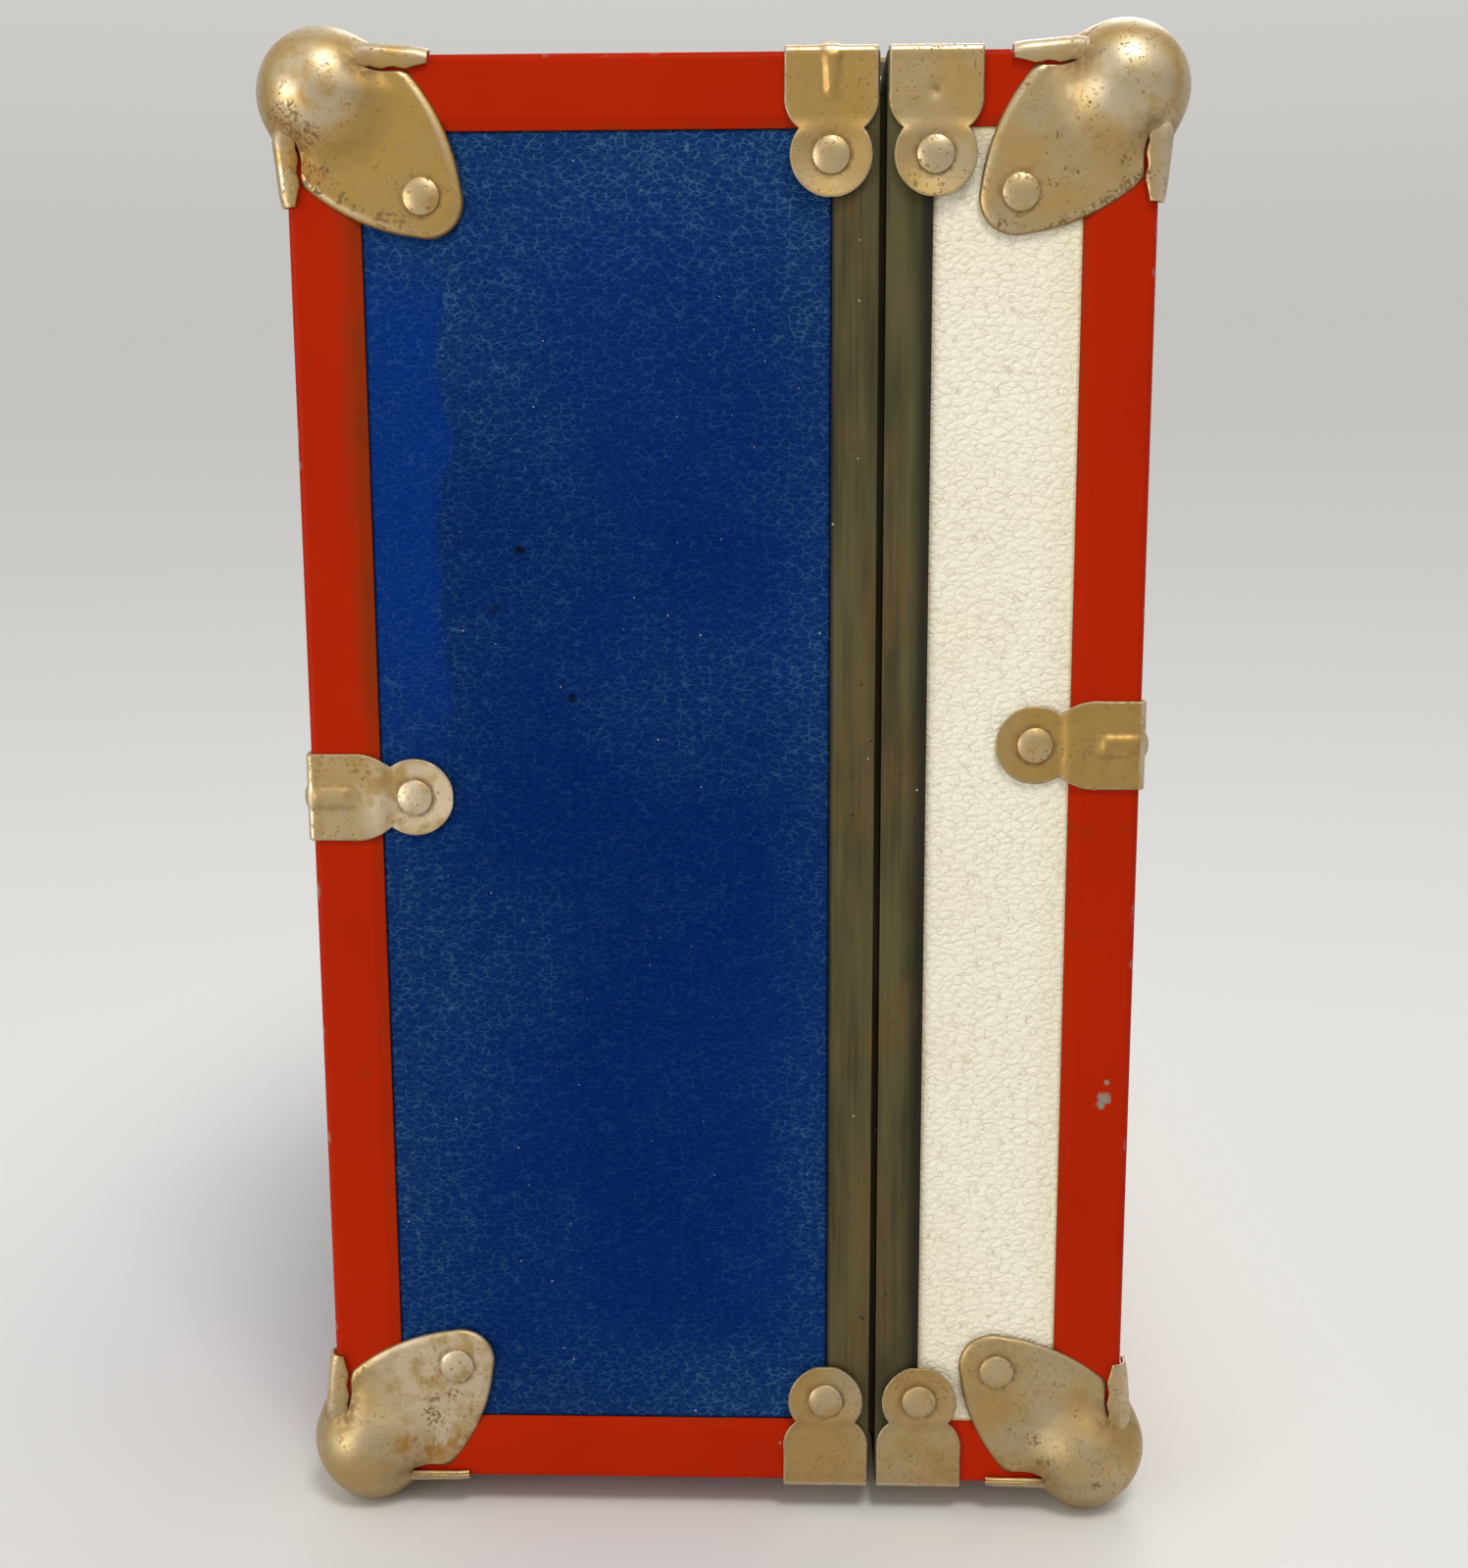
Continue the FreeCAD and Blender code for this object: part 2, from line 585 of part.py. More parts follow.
def handle_bracket(rivets, pivot, y):
    """Bracket riveted to the top: a base plate with two ears that carry the pivot pin."""
    ear_out = HANDLE_EYE_WIDTH / 2 + FIT + BRACKET_GAUGE
    half_length = BRACKET_LENGTH / 2
    half_width = ear_out + BRACKET_MARGIN
    solids = [box(pivot.x - half_length, y - half_width, VINYL_TOP,
                  pivot.x + half_length, y + half_width, VINYL_TOP + PLATE_GAUGE)]
    ear_half = BRACKET_EAR_WIDTH / 2
    for ear_y in (y - ear_out, y + ear_out - BRACKET_GAUGE):
        solids.append(box(pivot.x - ear_half, ear_y, VINYL_TOP, pivot.x + ear_half, ear_y + BRACKET_GAUGE,
                          pivot.z))
        solids.append(Part.makeCylinder(ear_half, BRACKET_GAUGE, Vector(pivot.x, ear_y, pivot.z),
                                        Vector(0, 1, 0)))
    bore = Part.makeCylinder(HANDLE_PIN + PIN_FIT, 2 * ear_out, Vector(pivot.x, y - ear_out, pivot.z),
                             Vector(0, 1, 0))
    for step in (-1, 1):
        head = Vector(pivot.x + step * BRACKET_RIVET, y, VINYL_TOP + PLATE_GAUGE)
        rivets.add(head, Vector(0, 0, -1), TRIM_GAUGE - PLATE_GAUGE, large=False)
    return fused(solids).cut(bore)


def handle_pin(pivot, y):
    """Pin across a bracket's two ears."""
    reach = HANDLE_EYE_WIDTH / 2 + FIT + BRACKET_GAUGE
    return Part.makeCylinder(HANDLE_PIN, 2 * reach, Vector(pivot.x, y - reach, pivot.z), Vector(0, 1, 0))


class Latch:
    """Latch at one place along the seam: its lock on the body and its hasp on the lid."""

    def __init__(self, y):
        self.y = y
        self.lock_front = BODY_RIM - VALANCE_LEG - PLATE_CLEAR - LOCK_MARGIN
        self.lock_back = self.lock_front - LOCK_LENGTH
        self.lock_top = VINYL_TOP + LOCK_HEIGHT
        self.plate_top = VINYL_TOP + PLATE_GAUGE
        self.inner_half = LOCK_WIDTH / 2 - PLATE_GAUGE
        self.nose_front = self.lock_front - NOSE_SETBACK
        self.nose_back = self.nose_front - NOSE_GAUGE
        self.button_back = self.lock_back + LOCK_MARGIN
        self.button_front = self.button_back + BUTTON_LENGTH
        self.bolt_low = self.plate_top + FIT + SLIDE_GAUGE
        self.bolt_top = self.bolt_low + SLIDE_GAUGE
        self.bolt_tip = -NOSE_WIDTH / 2 + BOLT_BITE
        self.slide_end = self.bolt_tip - BOLT_WIDTH
        self.hasp_low = self.lock_top + FIT
        self.pivot = Vector(LID_RIM + VALANCE_LEG + PLATE_CLEAR + HASP_BARREL, y,
                            self.plate_top + FIT + HASP_BARREL)

    def span(self, x0, y0, z0, x1, y1, z1):
        """Box with its Y measured from the latch's middle."""
        return box(x0, self.y + y0, z0, x1, self.y + y1, z1)

    def lock_plate(self, rivets):
        """Base plate on the vinyl, with a rivet at each corner outside the lock's case."""
        half = LOCK_WIDTH / 2 + LOCK_FLANGE
        back = self.lock_back - LOCK_MARGIN
        front = self.lock_front + LOCK_MARGIN
        rivet_y = half - LOCK_FLANGE / 2
        for x in (back + LOCK_FLANGE / 2, front - LOCK_FLANGE / 2):
            for y in (-rivet_y, rivet_y):
                head = Vector(x, self.y + y, self.plate_top)
                rivets.add(head, Vector(0, 0, -1), TRIM_GAUGE - PLATE_GAUGE, large=False)
        return self.span(back, -half, VINYL_TOP, front, half, self.plate_top)

    def lock_case(self):
        """Pressed cover with a slot for the hasp's nose and one for the slide's stem."""
        half = LOCK_WIDTH / 2
        outer = self.span(self.lock_back, -half, self.plate_top, self.lock_front, half, self.lock_top)
        corners = [e for e in outer.Edges if e.BoundBox.ZMax > self.lock_top - FIT]
        outer = outer.makeFillet(PLATE_GAUGE, corners)
        hollow = self.span(self.lock_back + PLATE_GAUGE, -self.inner_half, self.plate_top,
                           self.lock_front - PLATE_GAUGE, self.inner_half, self.lock_top - PLATE_GAUGE)
        nose_half = NOSE_WIDTH / 2 + NOSE_CLEAR
        nose_slot = self.span(self.nose_back - NOSE_CLEAR, -nose_half, self.plate_top,
                              self.nose_front + NOSE_CLEAR, nose_half, self.lock_top + FIT)
        stem_x = (self.button_back + self.button_front) / 2
        stem_half = STEM_LENGTH / 2 + FIT
        stem_slot = self.span(stem_x - stem_half, -STEM_WIDTH / 2 - SLIDE_TRAVEL - FIT, self.plate_top,
                              stem_x + stem_half, STEM_WIDTH / 2 + FIT, self.lock_top + FIT)
        return outer.cut([hollow, nose_slot, stem_slot])

    def slide(self):
        """Thumb slide: ridged button, stem, and the plate whose finger bolts the hasp's nose."""
        plate_half = -self.slide_end
        stem_x = (self.button_back + self.button_front) / 2
        button_low = self.lock_top + FIT
        button_top = button_low + BUTTON_HEIGHT
        solids = [
            self.span(self.button_back, self.slide_end, self.bolt_low,
                      self.button_front, plate_half, self.bolt_top),
            self.span(self.button_front, self.slide_end, self.bolt_low,
                      self.nose_front + NOSE_CLEAR, self.bolt_tip, self.bolt_top),
            self.span(stem_x - STEM_LENGTH / 2, -STEM_WIDTH / 2, self.bolt_top,
                      stem_x + STEM_LENGTH / 2, STEM_WIDTH / 2, button_low),
            self.span(self.button_back, -BUTTON_WIDTH / 2, button_low,
                      self.button_front, BUTTON_WIDTH / 2, button_top),
        ]
        pitch = BUTTON_WIDTH / (BUTTON_RIDGES + 1)
        for i in range(BUTTON_RIDGES):
            at = Vector(self.button_back, self.y - BUTTON_WIDTH / 2 + (i + 1) * pitch, button_top)
            solids.append(Part.makeCylinder(RIDGE_RADIUS, BUTTON_LENGTH, at, Vector(1, 0, 0)))
        return fused(solids)

    def spring(self):
        """Folded leaf spring between the lock's wall and the end of the slide."""
        start = -self.inner_half
        pitch = (self.slide_end - start - SPRING_GAUGE) / SPRING_LIMBS
        ends = (self.button_back + FIT, self.button_front - FIT)
        limbs = []
        for i in range(SPRING_LIMBS):
            x0, x1 = ends[i % 2], ends[(i + 1) % 2]
            y0 = start + i * pitch
            y1 = y0 + pitch
            items = [(x0, y0), (x1, y1), (x1, y1 + SPRING_GAUGE), (x0, y0 + SPRING_GAUGE)]
            face = outline_face(items, lambda p: Vector(p[0], self.y + p[1], self.bolt_low))
            limbs.append(face.extrude(Vector(0, 0, SLIDE_GAUGE)))
        return fused(limbs)

    def hasp(self):
        """Hasp: an eye on its pin, an arm arched over the seam, and a nose with a notch for the bolt."""
        low = self.hasp_low
        top = low + HASP_GAUGE
        tip = self.nose_back - HASP_OVERHANG + NOSE_CLEAR
        rise = self.pivot.x - HASP_RISE_RUN
        under_eye = (self.pivot.x - HASP_BARREL + HASP_ROOT_BITE, self.pivot.z)
        over_eye = (self.pivot.x - HASP_ROOT_LAP, self.pivot.z + HASP_BARREL - HASP_ROOT_LAP)
        profile = [(tip, low + HASP_TIP_RISE), (tip + HASP_TIP_RISE, low), (rise, low), under_eye, over_eye,
                   (rise + HASP_GAUGE, top), (tip + HASP_TIP_RISE, top), (tip, top + HASP_TIP_RISE)]
        half = HASP_WIDTH / 2
        arm = outline_face(profile, lambda p: Vector(p[0], self.y - half, p[1]))
        arm = arm.extrude(Vector(0, HASP_WIDTH, 0))
        third = HASP_WIDTH / 3
        eye = Part.makeCylinder(HASP_BARREL, third, self.pivot - Vector(0, third / 2, 0), Vector(0, 1, 0))
        relief_x = self.pivot.x - HASP_BARREL - FIT
        relief = [self.span(relief_x, sign * (third / 2), self.plate_top - FIT, self.pivot.x + HASP_BARREL,
                            sign * (half + FIT), low) for sign in (-1, 1)]
        relief += [self.span(relief_x, sign * (third / 2), low - FIT, self.pivot.x + HASP_BARREL,
                             sign * (half + FIT), top + FIT) for sign in (-1, 1)]
        nose_half = NOSE_WIDTH / 2
        nose = self.span(self.nose_back, -nose_half, self.plate_top + FIT, self.nose_front, nose_half, low)
        notch = self.span(self.nose_back, -nose_half, self.bolt_low - FIT,
                          self.nose_front, self.bolt_tip + FIT, self.bolt_top + FIT)
        bore = Part.makeCylinder(HASP_PIN + PIN_FIT, HASP_WIDTH, self.pivot - Vector(0, half, 0),
                                 Vector(0, 1, 0))
        return fused([arm.cut(relief), eye, nose.cut(notch)]).cut(bore)

    def hasp_plate(self, rivets):
        """Plate on the lid with two knuckles for the hasp's pin."""
        half = HASP_WIDTH / 2 + LOCK_MARGIN
        start = self.pivot.x - HASP_BARREL
        end = start + HASP_PLATE_LENGTH
        third = HASP_WIDTH / 3
        solids = [self.span(start, -half, VINYL_TOP, end, half, self.plate_top)]
        for sign in (-1, 1):
            y0 = sign * (third / 2 + FIT)
            y1 = sign * HASP_WIDTH / 2
            solids.append(self.span(start, y0, self.plate_top,
                                    self.pivot.x + HASP_BARREL, y1, self.pivot.z))
            low = self.pivot + Vector(0, min(y0, y1), 0)
            solids.append(Part.makeCylinder(HASP_BARREL, abs(y1 - y0), low, Vector(0, 1, 0)))
            head = Vector(end - LOCK_FLANGE, self.y + sign * HASP_WIDTH / 3, self.plate_top)
            rivets.add(head, Vector(0, 0, -1), TRIM_GAUGE - PLATE_GAUGE, large=False)
        bore = Part.makeCylinder(HASP_PIN + PIN_FIT, HASP_WIDTH, self.pivot - Vector(0, HASP_WIDTH / 2, 0),
                                 Vector(0, 1, 0))
        return fused(solids).cut(bore)

    def hasp_pin(self):
        """Pin through the hasp's eye and the plate's knuckles."""
        return Part.makeCylinder(HASP_PIN, HASP_WIDTH, self.pivot - Vector(0, HASP_WIDTH / 2, 0),
                                 Vector(0, 1, 0))


def body_valance():
    """Seam strips of the body: outer leg, web over the rim and inner leg."""
    ring = fused([rim_ring(BODY_RIM - VALANCE_LEG, BODY_RIM, 0, TRIM_GAUGE),
                  rim_ring(BODY_RIM - TRIM_GAUGE, BODY_RIM, TRIM_GAUGE, INSIDE + TRIM_GAUGE),
                  rim_ring(BODY_RIM - VALANCE_INNER_LEG, BODY_RIM, INSIDE, INSIDE + TRIM_GAUGE)])
    return mitred(ring)


def body_tongue():
    """Strips welded inside the inner legs that reach into the lid."""
    return mitred(rim_ring(BODY_RIM - VALANCE_INNER_LEG, BODY_RIM + TONGUE_REACH,
                           INSIDE + TRIM_GAUGE, INSIDE + 2 * TRIM_GAUGE))


def lid_valance():
    """Seam strips of the lid: outer leg and web over the rim."""
    ring = fused([rim_ring(LID_RIM, LID_RIM + VALANCE_LEG, 0, TRIM_GAUGE),
                  rim_ring(LID_RIM, LID_RIM + TRIM_GAUGE, TRIM_GAUGE, INSIDE)])
    return mitred(ring)


def build():
    """All nodes by name: each is a solid or a list of separate solids."""
    nodes = corners()
    body_rivets = RivetSet()
    lid_rivets = RivetSet()
    seam_master = clamp_master(SEAM_CLAMP_LOBE, False)
    edge_master = clamp_master(EDGE_CLAMP_LOBE, True)

    halves = (("body", "back", -1, BACK, BODY_RIM, BACK_CLAMP_HEIGHT, body_rivets),
              ("lid", "front", 1, FRONT, LID_RIM, FRONT_CLAMP_HEIGHT, lid_rivets))
    for half, face_name, face_sign, face_plane, rim, clamp_height, rivets in halves:
        boards = layer_sheets(face_plane, rim, BOARD_OUT, BOARD_IN)
        for place, board in boards.items():
            nodes[half + "_" + (face_name if place == "face" else place) + "_board"] = board
        nodes[half + "_vinyl"] = list(layer_sheets(face_plane, rim, TRIM_GAUGE, BOARD_OUT).values())
        nodes[half + "_lining"] = list(layer_sheets(face_plane, rim, BOARD_IN, INSIDE).values())
        frame, sides = half_bindings(face_sign, rim)
        nodes[half + "_" + face_name + "_bindings"] = frame
        nodes[half + "_side_bindings"] = sides
        corner_rivets(rivets, face_sign)
        seam, middle = half_clamps(rivets, face_sign, rim, clamp_height, seam_master, edge_master)
        nodes[half + "_seam_clamps"] = seam
        nodes[half + "_edge_clamps"] = middle
    nodes["body_valance"] = body_valance()
    nodes["body_tongue"] = body_tongue()
    nodes["lid_valance"] = lid_valance()

    for end, y in (("near", -HINGE_OFFSET), ("far", HINGE_OFFSET)):
        nodes[end + "_hinge_body_leaf"] = hinge_leaf(body_rivets, -1, y)
        nodes[end + "_hinge_lid_leaf"] = hinge_leaf(lid_rivets, 1, y)
        nodes[end + "_hinge_pin"] = hinge_pin(y)

    pivot = Vector((BACK + BODY_RIM) / 2, 0, VINYL_TOP + HANDLE_PIVOT_HEIGHT)
    ends_y = (-HANDLE_SPAN / 2, HANDLE_SPAN / 2)
    ends = [handle_end(pivot, y) for y in ends_y]
    nodes["handle_ends"] = ends
    nodes["handle_grip"] = handle_grip(pivot).cut(ends)
    nodes["handle_brackets"] = [handle_bracket(body_rivets, pivot, y) for y in ends_y]
    nodes["handle_pins"] = [handle_pin(pivot, y) for y in ends_y]

    latches = {"near": Latch(-LATCH_OFFSET), "far": Latch(LATCH_OFFSET)}
    nodes["lock_plates"] = [latch.lock_plate(body_rivets) for latch in latches.values()]
    nodes["hasp_pins"] = [latch.hasp_pin() for latch in latches.values()]
    for end, latch in latches.items():
        nodes[end + "_lock_case"] = latch.lock_case()
        nodes[end + "_thumb_slide"] = latch.slide()
        nodes[end + "_lock_spring"] = latch.spring()
        nodes[end + "_hasp"] = latch.hasp()
        nodes[end + "_hasp_plate"] = latch.hasp_plate(lid_rivets)

    body_extra = ("handle_brackets", "lock_plates", "near_hinge_body_leaf", "far_hinge_body_leaf")
    lid_extra = ("near_hinge_lid_leaf", "far_hinge_lid_leaf", "near_hasp_plate", "far_hasp_plate")
    for name in list(nodes):
        rivets = None
        if name.startswith("body_") or name in body_extra:
            rivets = body_rivets
        elif name.startswith("lid_") or name in lid_extra:
            rivets = lid_rivets
        if rivets is None:
            continue
        shape = nodes[name]
        drilled = [rivets.drill(s) for s in shape] if isinstance(shape, list) else rivets.drill(shape)
        nodes[name] = drilled

    nodes["body_rivets"] = body_rivets.large
    nodes["body_small_rivets"] = body_rivets.small
    nodes["lid_rivets"] = lid_rivets.large
    nodes["lid_small_rivets"] = lid_rivets.small
    return nodes


def export(nodes):
    """Write one STEP file for each node."""
    os.makedirs("parts", exist_ok=True)
    for name, shape in sorted(nodes.items()):
        whole = Part.makeCompound(shape) if isinstance(shape, list) else shape
        whole.exportStep("parts/" + name + ".step")
        print(name, len(whole.Solids), round(whole.Volume, 1), whole.isValid())


export(build())
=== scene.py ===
"""Looks of a steel-bound carry case: pressed corners and clamps, grained vinyl, worn enamel and tarnish."""

import logging
import math
from dataclasses import dataclass
from enum import Enum
from typing import Any, Iterable, Optional, Sequence, Union

import bpy
import numpy as np
from mathutils import Euler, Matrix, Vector


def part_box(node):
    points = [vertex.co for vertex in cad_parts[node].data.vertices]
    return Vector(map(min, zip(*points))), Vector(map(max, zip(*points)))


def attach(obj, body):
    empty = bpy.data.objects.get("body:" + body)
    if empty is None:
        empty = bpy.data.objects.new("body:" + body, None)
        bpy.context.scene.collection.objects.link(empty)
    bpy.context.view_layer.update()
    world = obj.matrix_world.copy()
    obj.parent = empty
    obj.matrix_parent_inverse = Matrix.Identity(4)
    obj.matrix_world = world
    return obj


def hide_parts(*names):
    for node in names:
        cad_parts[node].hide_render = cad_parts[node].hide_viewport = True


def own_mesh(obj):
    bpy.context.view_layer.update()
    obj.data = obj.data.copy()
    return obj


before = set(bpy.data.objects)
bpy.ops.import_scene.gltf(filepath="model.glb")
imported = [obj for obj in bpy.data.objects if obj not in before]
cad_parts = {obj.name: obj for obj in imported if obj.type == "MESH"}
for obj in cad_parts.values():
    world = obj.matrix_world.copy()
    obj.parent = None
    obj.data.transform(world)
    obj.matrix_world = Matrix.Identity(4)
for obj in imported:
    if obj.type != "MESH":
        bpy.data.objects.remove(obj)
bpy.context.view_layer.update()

MM = 0.001
WELD_GAP = 0.01
SPECK_EDGE = 0.08
LOG = logging.getLogger("carry_case")

Triple = tuple[float, float, float]
Colour = Triple
Points = np.ndarray
Faces = list[list[int]]
Patch = tuple[Points, Faces, dict["Wear", Points]]
Spots = tuple[Triple, ...]
Term = Union["Value", float]


class Slot(Enum):
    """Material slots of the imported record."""

    NICKEL = "nickel_plate"
    PLASTIC = "handle_plastic"
    SPRING = "spring_steel"


class Body(Enum):
    """Bodies of the case that new pieces ride on."""

    CASE = "case_body"
    LID = "lid"
    HANDLE = "handle"


class Mark(Enum):
    """What the press or later wear left on a clamp, beside its bend."""

    RIB = "rib"
    DENT = "dent"
    PLAIN = "plain"


class Wear(Enum):
    """Wear, and painted shade, that the sheet pieces carry point by point for their finish."""

    # Painted shade in hollows, crevices and under edges, mixed with real dirt.
    SHADE_AND_DIRT = "dirt_and_shade"
    RUB = "rub"


@dataclass(frozen=True)
class Envelope:
    """Outer planes of the case over its bindings, in millimetres, read from the frame."""

    low: Triple
    high: Triple
    binding: float
    seam: tuple[float, float]

    @classmethod
    def from_frame(cls) -> "Envelope":
        """Read the planes from the bindings and seam strips of both halves."""
        low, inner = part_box("body_back_bindings")
        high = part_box("lid_front_bindings")[1]
        seam = (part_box("body_valance")[0].x / MM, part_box("lid_valance")[1].x / MM)
        return cls(tuple(low / MM), tuple(high / MM), (inner.x - low.x) / MM, seam)

    def plane(self, axis: int, sign: int) -> float:
        """Outer plane of one side of the case."""
        return self.high[axis] if sign > 0 else self.low[axis]

    def centre(self) -> Vector:
        """Middle of the case."""
        return (Vector(self.low) + Vector(self.high)) / 2

    def half(self) -> Vector:
        """Half of the case's sizes."""
        return (Vector(self.high) - Vector(self.low)) / 2


CASE = Envelope.from_frame()
NEAR_FADE = (12.0, 25.0)

# Stains and orange rust on the near end's corners, each as its place along X and Z and its radius.
UPPER_BODY_STAINS: Spots = (
    (-90.0, 307.0, 2.2), (-86.5, 306.0, 2.6), (-83.8, 303.5, 2.4), (-84.0, 296.5, 2.2), (-81.0, 296.5, 1.7),
    (-82.5, 293.6, 1.7), (-79.0, 294.0, 1.3), (-77.0, 291.0, 1.3), (-74.0, 289.6, 1.3), (-69.0, 287.6, 1.6),
    (-65.4, 286.8, 1.3))
LOWER_BODY_STAINS: Spots = ((-65.7, 23.2, 2.2), (-66.5, 26.8, 1.4), (-62.0, 28.2, 1.5))
UPPER_LID_STAINS: Spots = (
    (68.2, 302.4, 0.8), (70.0, 295.0, 0.9), (71.8, 295.4, 0.7), (64.4, 283.0, 1.2), (67.1, 284.7, 1.2),
    (70.2, 285.5, 1.3), (73.5, 286.7, 1.2), (75.6, 288.4, 1.0), (57.4, 285.3, 1.0), (60.5, 286.3, 1.0),
    (77.3, 290.0, 1.1), (79.4, 291.0, 1.3), (82.0, 292.8, 1.5), (84.6, 293.6, 1.5), (86.4, 295.0, 1.3),
    (73.5, 291.3, 0.9), (67.5, 293.8, 1.0), (81.4, 297.6, 1.0))
LOWER_LID_STAINS: Spots = (
    (69.8, 19.6, 1.6), (64.4, 20.8, 1.1), (71.8, 14.6, 1.1), (83.3, 11.2, 0.9), (78.5, 26.4, 0.7))
CORNER_STAINS = UPPER_BODY_STAINS + LOWER_BODY_STAINS + UPPER_LID_STAINS + LOWER_LID_STAINS
CORNER_BLOOMS: Spots = (
    (-85.8, 299.5, 3.0), (-83.0, 296.0, 2.6), (-72.8, 17.0, 3.0), (-66.7, 14.6, 3.2), (-61.4, 17.2, 2.8))


class Value:
    """A shader socket that takes part in Python arithmetic."""

    def __init__(self, graph: "Graph", socket: bpy.types.NodeSocket) -> None:
        """Keep the graph that the socket belongs to."""
        self.graph = graph
        self.socket = socket

    def __add__(self, other: Term) -> "Value":
        """Sum of two values."""
        return self.graph.math("ADD", self, other)

    def __sub__(self, other: Term) -> "Value":
        """Difference of two values."""
        return self.graph.math("SUBTRACT", self, other)

    def __rsub__(self, other: Term) -> "Value":
        """Difference from a number."""
        return self.graph.math("SUBTRACT", other, self)

    def __mul__(self, other: Term) -> "Value":
        """Product of two values."""
        return self.graph.math("MULTIPLY", self, other)

    def __truediv__(self, other: Term) -> "Value":
        """Quotient of two values."""
        return self.graph.math("DIVIDE", self, other)

    def __abs__(self) -> "Value":
        """Size without sign."""
        return self.graph.math("ABSOLUTE", self)

    __radd__ = __add__
    __rmul__ = __mul__

    def at_least(self, other: Term) -> "Value":
        """The larger of two values."""
        return self.graph.math("MAXIMUM", self, other)

    def at_most(self, other: Term) -> "Value":
        """The smaller of two values."""
        return self.graph.math("MINIMUM", self, other)

    def over(self, low: Term, high: Term) -> "Value":
        """Smooth step from 0 at low to 1 at high."""
        inputs = {"Value": self, "From Min": low, "From Max": high}
        settings = {"interpolation_type": "SMOOTHSTEP"}
        return self.graph.add("ShaderNodeMapRange", "Result", settings, inputs)


class Graph:
    """Node tree of one material or of the world, with short ways to add its nodes."""

    def __init__(self, tree: bpy.types.NodeTree) -> None:
        """Start from an empty tree."""
        self.tree = tree
        self.tree.nodes.clear()
        self._place: Optional[Value] = None
        self._axes: Optional[list[Value]] = None

    def add(self, kind: str, output: Union[str, int], settings: dict[str, Any],
            inputs: dict[Union[str, int], Any]) -> Value:
        """Add any node.

        Args:
            kind: Blender's name of the node's type.
            output: Name or number of the socket to hand back.
            settings: Properties of the node, set before its sockets.
            inputs: Values or links of its sockets, by name or number.

        Returns:
            The chosen output.
        """
        node = self.tree.nodes.new(kind)
        for name, setting in settings.items():
            setattr(node, name, setting)
        for name, term in inputs.items():
            if isinstance(term, Value):
                self.tree.links.new(term.socket, node.inputs[name])
            else:
                node.inputs[name].default_value = term
        return Value(self, node.outputs[output])

    def math(self, operation: str, *terms: Term) -> Value:
        """Math node on values."""
        return self.add("ShaderNodeMath", 0, {"operation": operation}, dict(enumerate(terms)))

    def vector(self, operation: str, *terms: Any, output: str = "Vector") -> Value:
        """Vector Math node on vectors."""
        return self.add("ShaderNodeVectorMath", output, {"operation": operation}, dict(enumerate(terms)))

    def mix(self, factor: Term, first: Any, second: Any, mode: str = "MIX") -> Value:
        """Blend two colours.

        Args:
            factor: Share of the second colour.
            first: Colour at factor 0.
            second: Colour at factor 1.
            mode: Blend type.

        Returns:
            The blended colour.
        """
        colours = [(*c, 1.0) if isinstance(c, tuple) else c for c in (first, second)]
        inputs = {0: factor, 6: colours[0], 7: colours[1]}
        return self.add("ShaderNodeMix", 2, {"data_type": "RGBA", "blend_type": mode}, inputs)

    def place(self) -> Value:
        """Place on the piece at rest, in millimetres."""
        if self._place is None:
            metres = self.add("ShaderNodeTexCoord", "Object", {}, {})
            self._place = self.vector("MULTIPLY", metres, (1 / MM,) * 3)
        return self._place

    def split(self, vector: Value) -> list[Value]:
        """The three values of a vector."""
        first = self.add("ShaderNodeSeparateXYZ", 0, {}, {0: vector})
        return [first] + [Value(self, first.socket.node.outputs[i]) for i in (1, 2)]

    def axes(self) -> list[Value]:
        """Place along X, Y and Z, in millimetres."""
        if self._axes is None:
            self._axes = self.split(self.place())
        return self._axes

    def edge_distance(self) -> Value:
        """Distance from the nearest edge of the case, over its skin, in millimetres."""
        offset = self.vector("SUBTRACT", self.place(), tuple(CASE.centre()))
        inset = self.vector("SUBTRACT", tuple(CASE.half()), self.vector("ABSOLUTE", offset))
        x, y, z = self.split(inset)
        return x + y + z - x.at_most(y).at_most(z) - x.at_least(y).at_least(z)

    def noise(self, size: float, detail: float = 2.0, stretch: Triple = (1, 1, 1), shift: float = 0.0,
              at: Optional[Value] = None) -> Value:
        """Cloudy noise about 0.5.

        Args:
            size: Size of a cloud in millimetres.
            detail: Octaves of finer noise.
            stretch: How many times longer the clouds are along X, Y and Z.
            shift: Moves the pattern, so that two noises differ.
            at: Place to read the noise at, if not the plain one.

        Returns:
            The noise.
        """
        scale = tuple(1 / (size * s) for s in stretch)
        spot = self.vector("MULTIPLY_ADD", at or self.place(), scale, (shift,) * 3)
        return self.add("ShaderNodeTexNoise", 0, {}, {"Vector": spot, "Scale": 1.0, "Detail": detail})

    def cells(self, size: float, feature: str, stretch: Triple = (1, 1, 1), at: Optional[Value] = None,
              output: str = "Distance") -> Value:
        """Voronoi cells of a size in millimetres, measured in shares of that size."""
        scale = tuple(1 / (size * s) for s in stretch)
        spot = self.vector("MULTIPLY", at or self.place(), scale)
        return self.add("ShaderNodeTexVoronoi", output, {"feature": feature}, {"Vector": spot, "Scale": 1.0})

    def specks(self, pitch: float, radius: float, share: float) -> Value:
        """Scattered dots.

        Args:
            pitch: Mean distance between places for a dot, in millimetres.
            radius: Radius of the largest dots, in millimetres.
            share: Share of the places that hold a dot.

        Returns:
            1 in a dot, 0 outside.
        """
        distance = self.cells(pitch, "F1") * pitch
        chance = self.split(self.cells(pitch, "F1", output="Color"))
        size = (chance[0] - (1 - share)) / share * radius
        return 1 - (distance - size).over(-SPECK_EDGE, SPECK_EDGE)

